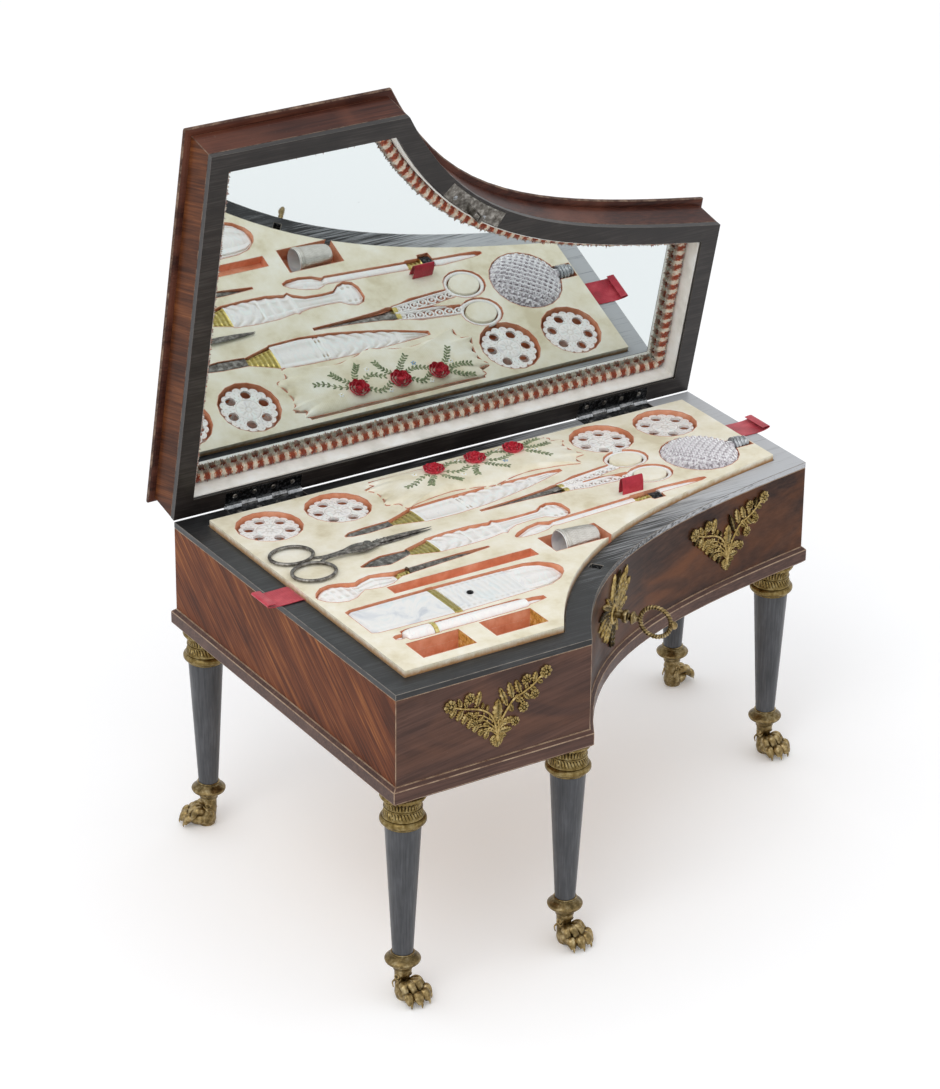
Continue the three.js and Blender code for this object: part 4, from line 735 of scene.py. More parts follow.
silk_stops = [(0.3, "#d9ceaf"), (0.44, "#e9e1c8"), (0.58, "#f1ebd8"), (0.72, "#f7f4e7")]
silk = woven("cream_silk", silk_stops)
silk_edge = woven("silk_edge", silk_stops, 6, rubbed="#b58b5e")
coral = woven("coral_paper", [(0.3, "#d58660"), (0.5, "#e79e7a"), (0.7, "#f3b797")], 9, 0.9, 0.0, 0.8)
brocade = woven("gold_brocade", [(0.35, "#9c6c24"), (0.5, "#d2a548"), (0.7, "#f0d68c")], 2, 0.7, 0.2, 0.45)
satin = woven("red_satin", [(0.3, "#98202f"), (0.5, "#b32b3c"), (0.7, "#cb4a55")], 9, 0.6, 0.5, 0.5)
rose_silk = woven("rose_silk", [(0.3, "#a01428"), (0.5, "#c72a3c"), (0.7, "#e25566")], 1.2, 0.5, 0.4, 0.6)
leaf_silk = woven("leaf_silk", [(0.3, "#59684a"), (0.5, "#7b8862"), (0.7, "#a1aa86")], 3, 0.5, 0.3, 0.65)
stem_silk = woven("stem_silk", [(0.35, "#5c6446"), (0.6, "#8a8f6c")], 3, 0.5, 0.2, 0.7)
white_silk = woven("white_silk", [(0.35, "#e6e6e2"), (0.6, "#fbfaf5")], 2, 0.5, 0.3, 0.7)
blue_silk = woven("blue_silk", [(0.35, "#6f8eb0"), (0.6, "#a3bbd2")], 2, 0.5, 0.3, 0.7)
drawn_line = woven("coral_line", [(0.35, "#bd7660"), (0.5, "#cd8d76"), (0.68, "#d8a88f")], 4, 0.5, 0.0, 0.8)

chenille, tree, shader = finish_of("chenille", "#c2542f", 0.95, Sheen_Weight=0.4, Specular_IOR_Level=0.1)
stripe = add(tree, "Attribute", attribute_name="stripe").outputs["Fac"]
ragged = maths(tree, "MULTIPLY_ADD", pattern(tree, 0.7, detail=2), 0.5, stripe)
tufts = shades(tree, ragged, [(0.42, "#9b4a33"), (0.62, "#c9704f"), (0.78, "#e3b291"), (0.95, "#efe4d2")])
fringe = add(tree, "Attribute", attribute_name="fringe").outputs["Fac"]
coloured(tree, shader, blended(tree, fringe, tufts, "#8d8b7a"))
print("materials", len(bpy.data.materials))

# %% [markdown]
# ## The case
# The case is a box of veneered boards with an ebonised rim and a mahogany plinth moulding. Its solids are
# right as they are, so they are only joined, eased and given a finish for each face. A hinge's barrel is
# brighter than its leaves, because the lid has polished it.

# %% Case
def case_faces(normals, centres):
    """0 the sides that look along x, 1 the straight front and back, 2 the bent side."""
    x = (centres[:, 0] - corner[0]) / MM
    bent = (x > straight_front + 0.5) & (normals[:, 1] < -0.05)
    return np.select([np.abs(normals[:, 0]) > 0.995, bent], [0, 2], 1)


RIM_ENDS = 0.13
BARREL_RADIUS = 0.0021


def rim_faces(normals, centres):
    """0 the rim's two end boards, 1 the long ones."""
    return np.where(np.abs(centres[:, 0]) > RIM_ENDS, 0, 1)


def barrel_faces(normals, centres):
    """0 the leaf of a hinge, 1 its barrel."""
    reach = np.hypot(centres[:, 1] - hinge_at[1], centres[:, 2] - hinge_at[2])
    return np.where(reach < BARREL_RADIUS, 1, 0)


dressed("case_carcass", [veneer_side, veneer_front, veneer_bent], case_faces, 0.0003, edge_case)
dressed("plinth_moulding", [veneer_dark], None, 0.0003, edge_case)
dressed("case_rim", [ebony_across, ebony_along], rim_faces, 0.0002, edge_rim)
dressed("case_bottom", [pine], None, 0.0002)
dressed("tray_ledge", [pine], None, 0.0002)
dressed("lid_frame", [veneer_lid, veneer_frame, veneer_frame], case_faces, 0.0003, edge_lid)
dressed("lid_top", [veneer_frame], None, 0.0006, edge_lid)
dressed("lid_rim", [ebony_lid], None, 0.0003, edge_rim)
dressed("mirror", [mirror_glass])
dressed("lid_lining", [lining])
for side in ("left", "right"):
    for half in ("case", "lid"):
        dressed(f"hinge_{side}_{half}_leaf", [iron, steel], barrel_faces, 0.00015)
dressed("strike_plate", [steel_dark], None, 0.00012)
dressed("lock_case", [steel_dark], None, 0.0002)
dressed("lock_bolt", [steel], None, 0.0001)
print("case dressed")

# %% [markdown]
# ## Legs
# Each leg is a gilt capital with a ring of fine reeds and a band of leaf tips, an ebonised taper and a
# gilt collar over a lion's paw. A profile of radius and height is turned about the leg's axis, and the
# reeds are a ripple of the radius. The paw is built as a founder sees it: a shank that swells into the
# heel, four toes that arch over their knuckles, and a claw at the end of each.

# %% Capitals, tapers and paws
legs = {"back_left": 141, "front_left": -73.2, "middle": -73.2, "right_front": -76.7, "back_right": 25.5}
capital_rows = [
    (0, 0), (8.8, 0), (9.8, 0.15), (10.2, 0.6), (10.0, 1.0), (10.9, 1.3), (11.7, 2.0), (11.9, 2.9),
    (11.7, 3.8), (10.9, 4.5), (10.5, 4.7), (10.6, 5.2), (10.1, 6.6), (9.6, 8.2), (9.6, 9.0), (9.9, 9.4),
    (9.5, 9.8), (9.6, 11.2), (10.1, 12.6), (10.9, 13.7), (11.6, 14.4), (11.9, 15.2), (11.6, 16.0),
    (10.8, 16.5), (9, 16.7), (0, 16.7)]


def reeds(angle, share):
    """Thirty-six reeds on the upper band and as many leaf tips on the lower one."""
    top = np.clip(1 - np.abs(share - 0.74) / 0.085, 0, 1) ** 0.35
    low = np.clip(1 - np.abs(share - 0.525) / 0.065, 0, 1) ** 0.5
    ripple = np.abs(np.cos(18 * angle))
    tips = np.abs(np.cos(18 * angle + 9 * math.pi * (share - 0.5)))
    return 1 - 0.085 * top * (1 - ripple) - 0.05 * low * (1 - tips)


collar_rows = [
    (0, 14.8), (4.0, 14.9), (4.4, 15.5), (4.6, 16.4), (5.0, 17.0), (4.8, 17.6), (6.4, 18.3),
    (7.9, 19.2), (8.4, 20.2), (8.3, 20.9), (7.2, 21.9), (5.9, 22.9), (5.4, 23.8), (5.1, 24.4),
    (0, 24.4)]
shank_rows = [
    (0.2, 15.6, 4.1), (0.1, 13.5, 4.0), (-0.3, 11, 3.6), (-0.3, 8.6, 3.5), (0.4, 6.2, 4.1),
    (1.1, 4.0, 4.7), (1.3, 1.8, 4.5), (1.2, 0.1, 4.0)]
toe_rows = [
    (0.5, 4.8, 2.2), (3.2, 7.6, 2.5), (5.6, 8.9, 2.7), (7.4, 8.0, 2.0), (9.0, 6.0, 2.2), (11.0, 5.4, 2.8),
    (12.4, 3.6, 2.2), (13.1, 2.2, 1.4)]
claw_rows = [(12.4, 4.0, 0.9), (13.6, 3.1, 0.8), (14.1, 1.6, 0.5), (14.0, 0.4, 0.12)]


def paw():
    """Shank, heel, four toes with claws, and a scroll of hair on each side of the shank."""
    shank = flowing(shank_rows, 30)
    parts = [tube(np.stack([shank[:, 0], shank[:, 0] * 0, shank[:, 1]], -1), shank[:, 2], 24, (0, 1, 0))]
    parts.append(moved(blob(1, (6.4, 5.6, 3.8), 18), (4.6, 0, 3.4)))
    for spread, wide, size in ((-26, -3.5, 0.9), (-8, -1.4, 1.0), (8, 1.4, 1.0), (26, 3.5, 0.9)):
        for rows, sides in ((toe_rows, 14), (claw_rows, 8)):
            line = flowing(rows, 26)
            path = np.stack([line[:, 0] * size, 0 * line[:, 0], line[:, 1]], -1)
            path[:, 1] = wide * np.clip(path[:, 0] / 6, 0.4, 1)
            toe = tube(path, line[:, 2] * 0.86 * size, sides, (0, 1, 0), 1.1)
            parts.append(moved(toe, (0.6, 0, 0), spread * 0.6))
    for side in (-1, 1):
        a = np.linspace(0, 2.6 * math.pi, 40)
        r = np.linspace(2.1, 0.5, 40)
        scroll = np.stack([0.1 + r * np.cos(a), np.full(40, side * 3.65), 11.6 - r * np.sin(a)], -1)
        parts.append(tube(scroll, np.linspace(0.35, 0.55, 40), 7, (0, 1, 0)))
        for x, z in ((0.9, 9.6), (-1.4, 10.0), (2.3, 8.4)):
            tail = [(x, side * 3.4, z), (x - 1.6, side * 3.6, z - 2.4), (x - 0.6, side * 4.1, z - 4.4)]
            parts.append(tube(flowing(tail, 20), np.linspace(0.55, 0.25, 20), 7, (0, 1, 0)))
    points, faces = joined(*parts)
    points[:, 2] = np.maximum(points[:, 2], 0)
    return points, faces


CAPITAL_SLIMMER = 0.91
capital = turned(flowing(capital_rows, 150) * [CAPITAL_SLIMMER, 1], 432, reeds)
for name, turn in legs.items():
    leg = f"leg_{name}_"
    capital_low, foot_high = span(leg + "capital")[0][2], span(leg + "foot")[1][2]
    taper = turned([(0, foot_high), (4.9, foot_high), (8.5, capital_low), (0, capital_low)], 64)
    foot = joined(turned(flowing(collar_rows, 60), 48), moved(paw(), turn=turn))
    for shape, look, new, node, slot, sharp in (
            (moved(capital, (0, 0, capital_low)), gilt, "capital_reeded", "capital", "gilt_bronze", 60),
            (taper, ebony_leg, "taper_turned", "taper", "ebonised_wood", 38),
            (foot, gilt_paw, "paw", "foot", "gilt_bronze", 55)):
        shape = put(shape, spot(leg + "capital") * [1, 1, 0])
        piece(leg + new, [(shape, look)], "case", [leg + node], sharp)
print("legs", len(legs))

# %% [markdown]
# ## Gilt sprays and palmette
# The mounts on the front and the bent side are sprays of leaves and flowers, cast thin and pinned on. A
# leaf is a lens-shaped surface: its half width swells and falls along the stalk with a toothed edge,
# and its back is flat against the wood. A flower is a disc whose rim and height ripple eight times. Each
# spray is two arched branches with leaves on both sides, drawn flat in millimetres from its foot, then
# stood against the straight front or wrapped round the bent side.

# %% Leaves, flowers and stems
def leaf(length, width, rise=1.3, teeth=5, round_tip=0.9, bend=0.0):
    """Half width = sin(pi u) with teeth, height = dome with a midrib groove and slanting veins; the midrib
    bends aside with the square of u."""
    u = np.linspace(0, 1, 30)[:, None]
    v = around(16)[None]
    half = width / 2 * np.sin(math.pi * u**round_tip) ** 0.6 * (1 + 0.16 * np.sin(teeth * FULL * u))
    across = np.cos(v)
    up = np.clip(np.sin(v), 0, 1) ** 0.8
    veins = np.sin(FULL * (teeth * u - 1.3 * np.abs(across))) > 0.2
    vein = 1 - 0.35 * np.exp(-((across / 0.16) ** 2)) - 0.2 * veins
    height = rise * up * vein * (0.45 + 0.55 * np.sin(math.pi * u) ** 0.5)
    return skin(np.stack([length * u + 0 * v, half * across + bend * length * u**2, height], -1))


def leaf_to(u0, v0, u1, v1, width, rise=1.4):
    """A leaf from its stalk's end to its tip."""
    shape = leaf(math.hypot(u1 - u0, v1 - v0), width, rise)
    return moved(shape, (u0, v0, 0), math.degrees(math.atan2(v1 - v0, u1 - u0)))


def flower(radius, petals=8, rise=1.6):
    """A rosette: the rim ripples with the petals, the middle is a bead in a ring."""
    r = np.linspace(0, 1, 14)[:, None]
    a = around(72)[None]
    petal = np.abs(np.cos(petals * a / 2))
    reach = radius * r * (0.7 + 0.3 * petal**0.6)
    bead = 0.55 * np.exp(-((r / 0.22) ** 2))
    ring = 0.35 * petal * np.sin(math.pi * r) + bead - 0.35 * (np.abs(r - 0.36) < 0.07)
    top = np.stack([reach * np.cos(a), reach * np.sin(a), rise * (0.55 + ring) + 0 * a], -1)
    foot = top[-1:] * [1, 1, 0]
    return skin(np.concatenate([top, foot, np.zeros_like(foot)]))


stems = [
    [(0, 3), (-1.2, 11), (-3.6, 17), (-8, 20.9), (-13, 22.9), (-18.5, 24.4), (-24, 26.8)],
    [(0, 3), (0.9, 11), (4.3, 17.2), (8.6, 22.2), (13.5, 24.2), (18, 26.2), (21.5, 28.9), (25, 31)],
    [(0, 3), (0.2, 8), (0.3, 14)],
]
stalks = [
    [(-1.2, 10), (-7, 15.5), (-13.5, 17)], [(-0.9, 8), (-6, 12.5), (-11, 13)],
    [(-0.6, 6.5), (-4, 9.5), (-8, 10)], [(-2.2, 13.8), (-9, 18.6), (-16, 20.2)],
    [(0.6, 9), (4, 11), (8, 10.5)], [(9.5, 22.8), (12, 20), (13.4, 17.6)],
]
leaves = [
    (-22, 25.5, -24.8, 21.2, 3), (-18.5, 24, -21.5, 18.8, 3.4), (-15.5, 21.8, -18.6, 16.4, 3.4),
    (-13, 18, -15.8, 13.4, 3.4), (-10.4, 14.8, -12.8, 10.8, 3.4), (-8, 11.8, -9.6, 8, 3.2),
    (-5, 9.6, -6.6, 5.6, 3), (-10, 20.4, -13.4, 18.2, 3), (-7, 16.8, -10.6, 15.6, 3),
    (-4.6, 13.4, -8, 12.6, 2.8), (-3, 10, -6, 9.6, 2.4), (-19.5, 25, -20.6, 30, 2.8),
    (-11.2, 23.2, -9.2, 30.8, 3.4), (-16.4, 24.4, -17.4, 27.6, 2.4), (-8.4, 21.5, -7.6, 24.6, 1.8),
    (-6, 19.8, -4.9, 22.6, 1.8), (0, 12.6, 0.4, 24.2, 5.4), (-0.4, 12, -3, 16.4, 2.4),
    (1, 12, 3, 15.4, 2.2), (5.2, 19.2, 1, 29.6, 3.4), (8, 22.4, 5.8, 31, 3.6), (12, 24, 9.6, 31.2, 3.6),
    (15.6, 25, 14.8, 28.4, 2.4), (19, 27, 20.4, 32.6, 3), (6, 20, 8.2, 15.6, 3),
    (9.4, 21.6, 13.8, 20.2, 3.2), (13.6, 23.6, 17.6, 19.4, 3.2), (17.4, 25.4, 20.6, 23, 3),
    (21, 28, 24, 26.2, 2.6), (1, 10.8, 8.6, 12.8, 3.6), (0.6, 7.6, 7.8, 7.4, 3.6),
    (0.4, 5.6, 5, 4.6, 2.6), (-0.4, 5.6, -4, 4.2, 2.6), (-0.9, 0.4, -2.6, 6.4, 3),
    (0.9, 0.4, 2.6, 6.4, 3), (0, -0.4, 0, 7, 4),
]
flowers = [
    (-25.2, 27.4, 3.3), (-15, 28.6, 2.9), (25.3, 31.4, 3.3), (15, 30.2, 2.7), (19.4, 21.6, 2.5),
    (13.6, 16.6, 2.7), (9.2, 10.6, 2.4), (-15.6, 20.2, 2.0), (-12.6, 15.6, 2.0)]


def spray():
    """Flowers, leaves and stems, with a row of beads on both sides of each stem."""
    parts = [moved(flower(size), (u, v, 0.2)) for u, v, size in flowers]
    parts += [leaf_to(*row) for row in leaves]
    for paths, thick in ((stems, 0.62), (stalks, 0.38)):
        for path in paths:
            parts.append(wire(path, 28, 0.8, np.linspace(thick, thick * 0.8, 28), 8))
            for k, (u, v) in enumerate(flowing(path, 28)[3::3]):
                parts.append(moved(blob(0.5), (u + (0.78 if k % 2 else -0.78), v + 1.1, 0.8)))
    return joined(*parts)


SPRAY_FRONT, SPRAY_SIDE = 53, 0.758 * bent_length
spray_base = span("spray_mount_front")[0][2] + 0.3
for side, stood in (("front", on_front(spray(), SPRAY_FRONT, spray_base)),
                    ("side", on_bent(spray(), SPRAY_SIDE, spray_base))):
    piece(f"spray_{side}_chased", [(stood, gilt)], "case", ["spray_mount_" + side], 50)

palmette_rows = [
    (19, 5, 100, -0.3), (20, 5, 84, -0.35), (21, 5, 68, -0.4), (20, 4.5, 50, -0.4), (18.5, 5, -90, 0.12),
    (17, 5, -106, 0.2), (15, 4.5, -72, -0.2), (15, 4.5, 114, 0.25), (18, 5, 130, 0.3), (22, 5, 148, 0.3),
    (22, 5, 164, 0.25), (18, 4.5, 182, 0.2), (15, 4.5, 204, 0.25), (14, 4.5, 226, 0.2), (24, 5, 30, 0.3),
    (22, 5, 12, 0.3), (17, 4.5, -8, 0.25), (14, 4.5, -30, 0.2), (13, 4.5, -50, -0.2)]
key_run, key_high = 0.322 * bent_length, 139.5
parts = [moved(leaf(long, wide, 1.6, 7, 0.7, bend), turn=turn) for long, wide, turn, bend in palmette_rows]
hole = np.stack([3.2 * np.cos(around(40)), 4.4 * np.sin(around(40)), np.full(41, 1.0)], -1)
parts.append(tube(hole, 0.9, 8))
piece("escutcheon_chased", [(on_bent(joined(*parts), key_run, key_high), gilt)], "case", ["escutcheon"],
      50)
print("leaves in a spray", len(leaves), "flowers", len(flowers))

# %% [markdown]
# ## The mirror's chenille trim
# A trim of red and cream tufts hides the edge of the mirror. It is one ring-shaped surface that follows
# the case's outline. The pile is a small random push of each point, always from the same seed, and two
# values are kept on the points: one for the colour along the trim and one for a grey-olive band on the
# side that faces the glass.

# %% Chenille
TRIM_INSET, TRIM_WIDE, TRIM_TALL = 10.9 + 2.9, 2.4, 1.8
TUFT = 5.9
mirror_face = 0.4 + 13.1
trim_high = mirror_face - 0.15 - 1.95
count, sides = 5400, 18
line, walked = plan(TRIM_INSET, count + 1)
line = line[:-1]
way = np.roll(line, -1, 0) - np.roll(line, 1, 0)
way /= np.linalg.norm(way, axis=1)[:, None]
out = np.stack([way[:, 1], -way[:, 0]], -1)
a = around(sides)[:-1][None]
rng = np.random.default_rng(4)
share = np.arange(count)[:, None] / count
beat = FULL * round(walked / TUFT) * share - 0.4 * a + rng.normal(0, 0.4, (count, sides))
reach = 1 + rng.normal(0, 0.26, (count, sides))
flat = line[:, None] + out[:, None] * (TRIM_WIDE * np.cos(a) * reach)[..., None]
points = np.concatenate([flat, (trim_high - TRIM_TALL * np.sin(a) * reach)[..., None]], -1).reshape(-1, 3)
i, j = np.meshgrid(np.arange(count), np.arange(sides), indexing="ij")
next_i, next_j = (i + 1) % count, (j + 1) % sides
rings = np.stack([i * sides + j, i * sides + next_j, next_i * sides + next_j, next_i * sides + j], -1)
trim = piece("mirror_trim_chenille", [(on_lid((points, rings.reshape(-1, 4))), chenille)], "lid",
             ["mirror_trim"], 180)
stripe = 0.38 + 0.34 * np.tanh(3 * np.cos(beat)) + rng.normal(0, 0.03, (count, sides))
inward = np.clip(np.cos(a) * np.sign(np.sum(out * (line - line.mean(0)), 1).mean()) * -1 - 0.7, 0, 1) * 2.4
for name, value in (("stripe", stripe), ("fringe", inward + 0 * stripe)):
    kept = trim.data.attributes.new(name, "FLOAT", "POINT")
    kept.data.foreach_set("value", value.ravel().astype(np.float32))
print("chenille", round(walked), "mm long,", len(trim.data.vertices), "points")

# %% [markdown]
# ## The tray
# The tray is a silk-covered board on a base, with a fitted well for every tool. Faces are told apart by
# where they look and how deep they lie: the top is silk, walls and floors of the wells are coral paper,
# the floors inside the pearl rings are silk again, and the outer edge is rolled silk with its rubbed
# border. The paper shows as a thin line round every well.

# %% Tray and the lines round its wells
TRAY_INSET = 12.8
RING_MIDDLES = ((222.3, -57), (222.8, -77.4))


def at_rim(x, y):
    """Whether places of the drawing lie on the tray's outer edge."""
    far = np.hypot(bent_line[::10, 0, None] - x, bent_line[::10, 1, None] - y).min(0)
    across = (x < TRAY_INSET) | (x > case_wide - TRAY_INSET)
    return across | (y > -TRAY_INSET) | (y < TRAY_INSET - case_deep) | ((far < TRAY_INSET + 0.6) & (x > 95))


def tray_faces(normals, centres):
    """0 silk, 1 coral, 2 rolled edge, 3 brocade on the right walls of the front compartments."""
    x, y = ((centres[:, :2] - corner[:2]) / MM).T
    side = at_rim(x, y)
    top = (normals[:, 2] > 0.5) & (centres[:, 2] > tray_high - 0.0005)
    rings = np.min([np.hypot(x - u, y - v) for u, v in RING_MIDDLES], 0) < 8.6
    end = (normals[:, 0] < -0.9) & (y < -167) & (x > 50) & (x < 95)
    level = normals[:, 2] > 0.5
    return np.select([top, end, side & (np.abs(normals[:, 2]) < 0.5), rings & level], [0, 3, 2, 0], 1)


for name in ("tray_board", "tray_base"):
    dressed(name, [silk, coral, silk_edge, brocade], tray_faces, 0.0004, silk)

lines = new_object("well_lines", bpy.data.meshes.new("well_lines"))
with opened(frame["nodes"]["tray_board"].data, lines.data) as work:
    below = [f for f in work.faces if f.normal.z < 0.99 or f.calc_center_median().z < tray_high - 0.0002]
    bmesh.ops.delete(work, geom=below, context="FACES")
    bmesh.ops.delete(work, geom=[e for e in work.edges if not e.is_boundary], context="EDGES_FACES")
    middles = (np.array([[*(e.verts[0].co + e.verts[1].co)] for e in work.edges]) / 2 - corner) / MM
    outer = at_rim(middles[:, 0], middles[:, 1])
    bmesh.ops.delete(work, geom=[e for e, far in zip(list(work.edges), outer) if far], context="EDGES")
bpy.ops.object.select_all(action="DESELECT")
bpy.context.view_layer.objects.active = lines
lines.select_set(True)
bpy.ops.object.convert(target="CURVE")
LINE_RADIUS = 0.00013
lines.data.bevel_depth, lines.data.bevel_resolution = LINE_RADIUS, 1
bpy.ops.object.convert(target="MESH")
lines.data.materials.append(drawn_line)
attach(lines, "tray")
print("tray lines", len(lines.data.vertices))

# %% [markdown]
# ## Pincushion and its garland
# The pincushion is a low pad of silk stretched over wool, with three ribbon roses and sprays of leaves
# worked on it. Its crown is a dome over the cartouche outline that falls away steeply at the rim. A
# rose is rings of small cupped petals, the outer ones wider, and each leaf is one flat stitch.

# %% Pincushion, roses and leaves
pad_low, pad_high = span("pincushion")
pad_at = spot("pincushion")
pad_at[2] = tray_top
half_wide = (pad_high[0] - pad_low[0]) / 2
crown_high = pad_high[2] - tray_top
half_outline = np.array([
    (0, 0.136), (0.224, 0.136), (0.448, 0.136), (0.448, 0.097), (0.5, 0.079), (0.483, 0.053),
    (0.474, 0.009), (0.483, -0.044), (0.5, -0.088), (0.447, -0.105), (0.439, -0.158), (0.386, -0.144),
    (0.307, -0.127), (0.193, -0.114), (0.088, -0.132), (0.018, -0.154)])
outline_shares = np.concatenate([half_outline, half_outline[::-1] * [-1, 1]])
outline = flowing(outline_shares * half_wide * 2, 240)


def crown(share):
    """Height of the pad over the tray: a dome that drops steeply near its rim."""
    return crown_high * np.clip(1 - share**5, 0, 1) ** 0.6


share = np.concatenate([np.linspace(0, 0.8, 12), np.linspace(0.84, 1, 12)])[:, None]
pucker = 1 - 0.02 * np.sin(np.linspace(0, 60 * math.pi, 240))[None] * share**8
drawn_in = outline[None] * (share * pucker)[..., None]
top = np.concatenate([drawn_in, (crown(share) + 0 * pucker)[..., None]], -1)
rim = np.stack([outline[:, 0], outline[:, 1], np.full(240, -5.6)], -1)[None]
pad = moved(skin(np.concatenate([top, rim, rim * [0, 0, 1]])), pad_at)
edge_line = wire(outline_shares * half_wide * 2, 240, 0.12, 0.24, 6)
parts = [(place(pad), silk), (put(edge_line, pad_at), drawn_line)]
cushion = piece("pincushion_pad", parts, "tray", ["pincushion"], 60)


def petal(wide, tall, cup):
    """A cupped petal standing on its foot: u across, v up, bent outwards at the lip."""
    u = np.linspace(-1, 1, 9)[:, None]
    v = np.linspace(0, 1, 7)[None]
    x = wide * u * np.sin(math.pi * (0.25 + 0.6 * v)) ** 0.5
    y = cup * (1 - u**2) - 0.25 * wide * v**3
    z = tall * v * (1 - 0.15 * u**2)
    front = np.stack([x + 0 * v, -y + 0 * u, z], -1)
    back = front - np.array([0, 0.16, 0])
    loop = np.concatenate([front, back[:, ::-1], front[:, :1]], 1)
    ends = [np.repeat(loop[k].mean(0)[None], loop.shape[1], 0)[None] for k in (0, -1)]
    return skin(np.concatenate([ends[0], loop, ends[1]]))


def rose(radius, seed):
    """Rings of petals leaning further out, round a rolled heart."""
    rng = np.random.default_rng(seed)
    parts = [blob(radius * 0.42, (1, 1, 0.85), 9)]
    for ring, (count, reach, tall) in enumerate(((4, 0.2, 0.75), (6, 0.45, 0.62), (8, 0.68, 0.45))):
        for k in range(count):
            shape = petal(radius * (0.34 + 0.06 * ring), radius * tall, radius * 0.16)
            lean = shape[0] @ np.array([[1, 0, 0], [0, 0.75, 0.3], [0, -0.35 - 0.25 * ring, 0.9]])
            turn = 360 * (k + 0.5 * (ring % 2)) / count + rng.uniform(-8, 8)
            parts.append(moved((lean - [0, radius * reach, 0], shape[1]), (0, 0, 0.1), turn))
    return joined(*parts)


def stitch(length, width, rise=0.35):
    """One flat silk stitch, a small raised lens."""
    u = np.linspace(0, 1, 9)[:, None]
    v = around(8)[None]
    half = width / 2 * np.sin(math.pi * u) ** 0.7
    height = rise * np.clip(np.sin(v), -0.2, 1) * np.sin(math.pi * u) ** 0.5
    return skin(np.stack([length * u + 0 * v, half * np.cos(v), height], -1))


def on_pad(x, y):
    """Height of the pad at a place of the drawing, a little sunk so that stitches sit in the silk."""
    share = max(abs(x - pad_at[0]) / half_wide, abs(y - pad_at[1]) / (0.145 * 2 * half_wide))
    return tray_top + float(crown(np.array(min(share, 1.0)))) - 0.12


rose_spots = [(130.5, -25.0, 5.0), (154.5, -24.5, 5.2), (177.0, -24.0, 5.0)]
small_flowers = [(141, -36, white_silk), (167, -33, blue_silk), (147, -20, white_silk),
                 (120, -24, white_silk), (187, -29, white_silk), (171, -20, white_silk)]
sprigs = [
    [(128, -27), (121, -29), (115, -33), (110, -34)], [(129, -29), (124, -34), (121, -38)],
    [(131, -30), (134, -36), (137, -40)], [(135, -25), (142, -21), (149, -24)],
    [(134, -28), (141, -32), (148, -29)], [(156, -29), (160, -34), (165, -39)],
    [(160, -25), (166, -21), (172, -24)], [(153, -29), (149, -34), (147, -39)],
    [(182, -24), (188, -20), (195, -18)], [(181, -27), (186, -32), (190, -38)],
    [(183, -25), (190, -26), (197, -25)], [(159, -28), (166, -30), (173, -28)]]
garland = []
rng = np.random.default_rng(12)
for x, y, radius in rose_spots:
    garland.append((put(rose(radius, int(x)), (x, y, on_pad(x, y))), rose_silk))
for path in sprigs:
    line = flowing(path, 22)
    heights = np.array([on_pad(x, y) for x, y in line]) + 0.15
    garland.append((place(tube(np.column_stack([line, heights]), 0.16, 6)), stem_silk))
    for k in range(2, 22, 3):
        x, y = line[k]
        way = math.degrees(math.atan2(*(line[min(k + 1, 21)] - line[k - 1])[::-1]))
        for side in (-1, 1):
            turn = way + side * (46 + rng.uniform(-10, 10))
            garland.append((put(stitch(2.5, 1.15), (x, y, heights[k] - 0.05), turn), leaf_silk))
for x, y, look in small_flowers:
    for k in range(5):
        garland.append((put(stitch(1.7, 1.1, 0.4), (x, y, on_pad(x, y)), 72 * k), look))
    garland.append((put(blob(0.45, (1, 1, 0.8), 6), (x, y, on_pad(x, y) + 0.3)), gilt_fine))
piece("pincushion_garland", garland, "tray", sharp=60)
print("garland", len(garland), "stitches and roses")

# %% [markdown]
# ## Thread reels
# A reel is two thin pierced discs of pearl on a hub. One sixth of a disc is a sheet that grows from the
# pierced hole to the edge of its own sector, so six turned copies meet without a gap. The edge is
# scalloped and the face is carved with a rosette and drilled dots.

# %% Reels
reel_radius, reel_tall = 14.7, 9.6


def carved(x, y):
    """Depth of the carving on a disc: rings, six petals and a field of small drilled dots."""
    r, a = np.hypot(x, y) / reel_radius, np.arctan2(y, x)
    petals = 0.3 * np.clip(np.cos(6 * a), 0, 1) * np.sin(math.pi * np.clip((r - 0.1) / 0.32, 0, 1))
    ring = -0.22 * np.exp(-(((r - 0.44) / 0.02) ** 2)) - 0.2 * np.exp(-(((r - 0.11) / 0.025) ** 2))
    dots = -0.25 * np.clip(np.cos(24 * a) * np.cos(24 * r), 0, 1) ** 4 * (r > 0.46) * (r < 0.92)
    return petals + ring + dots


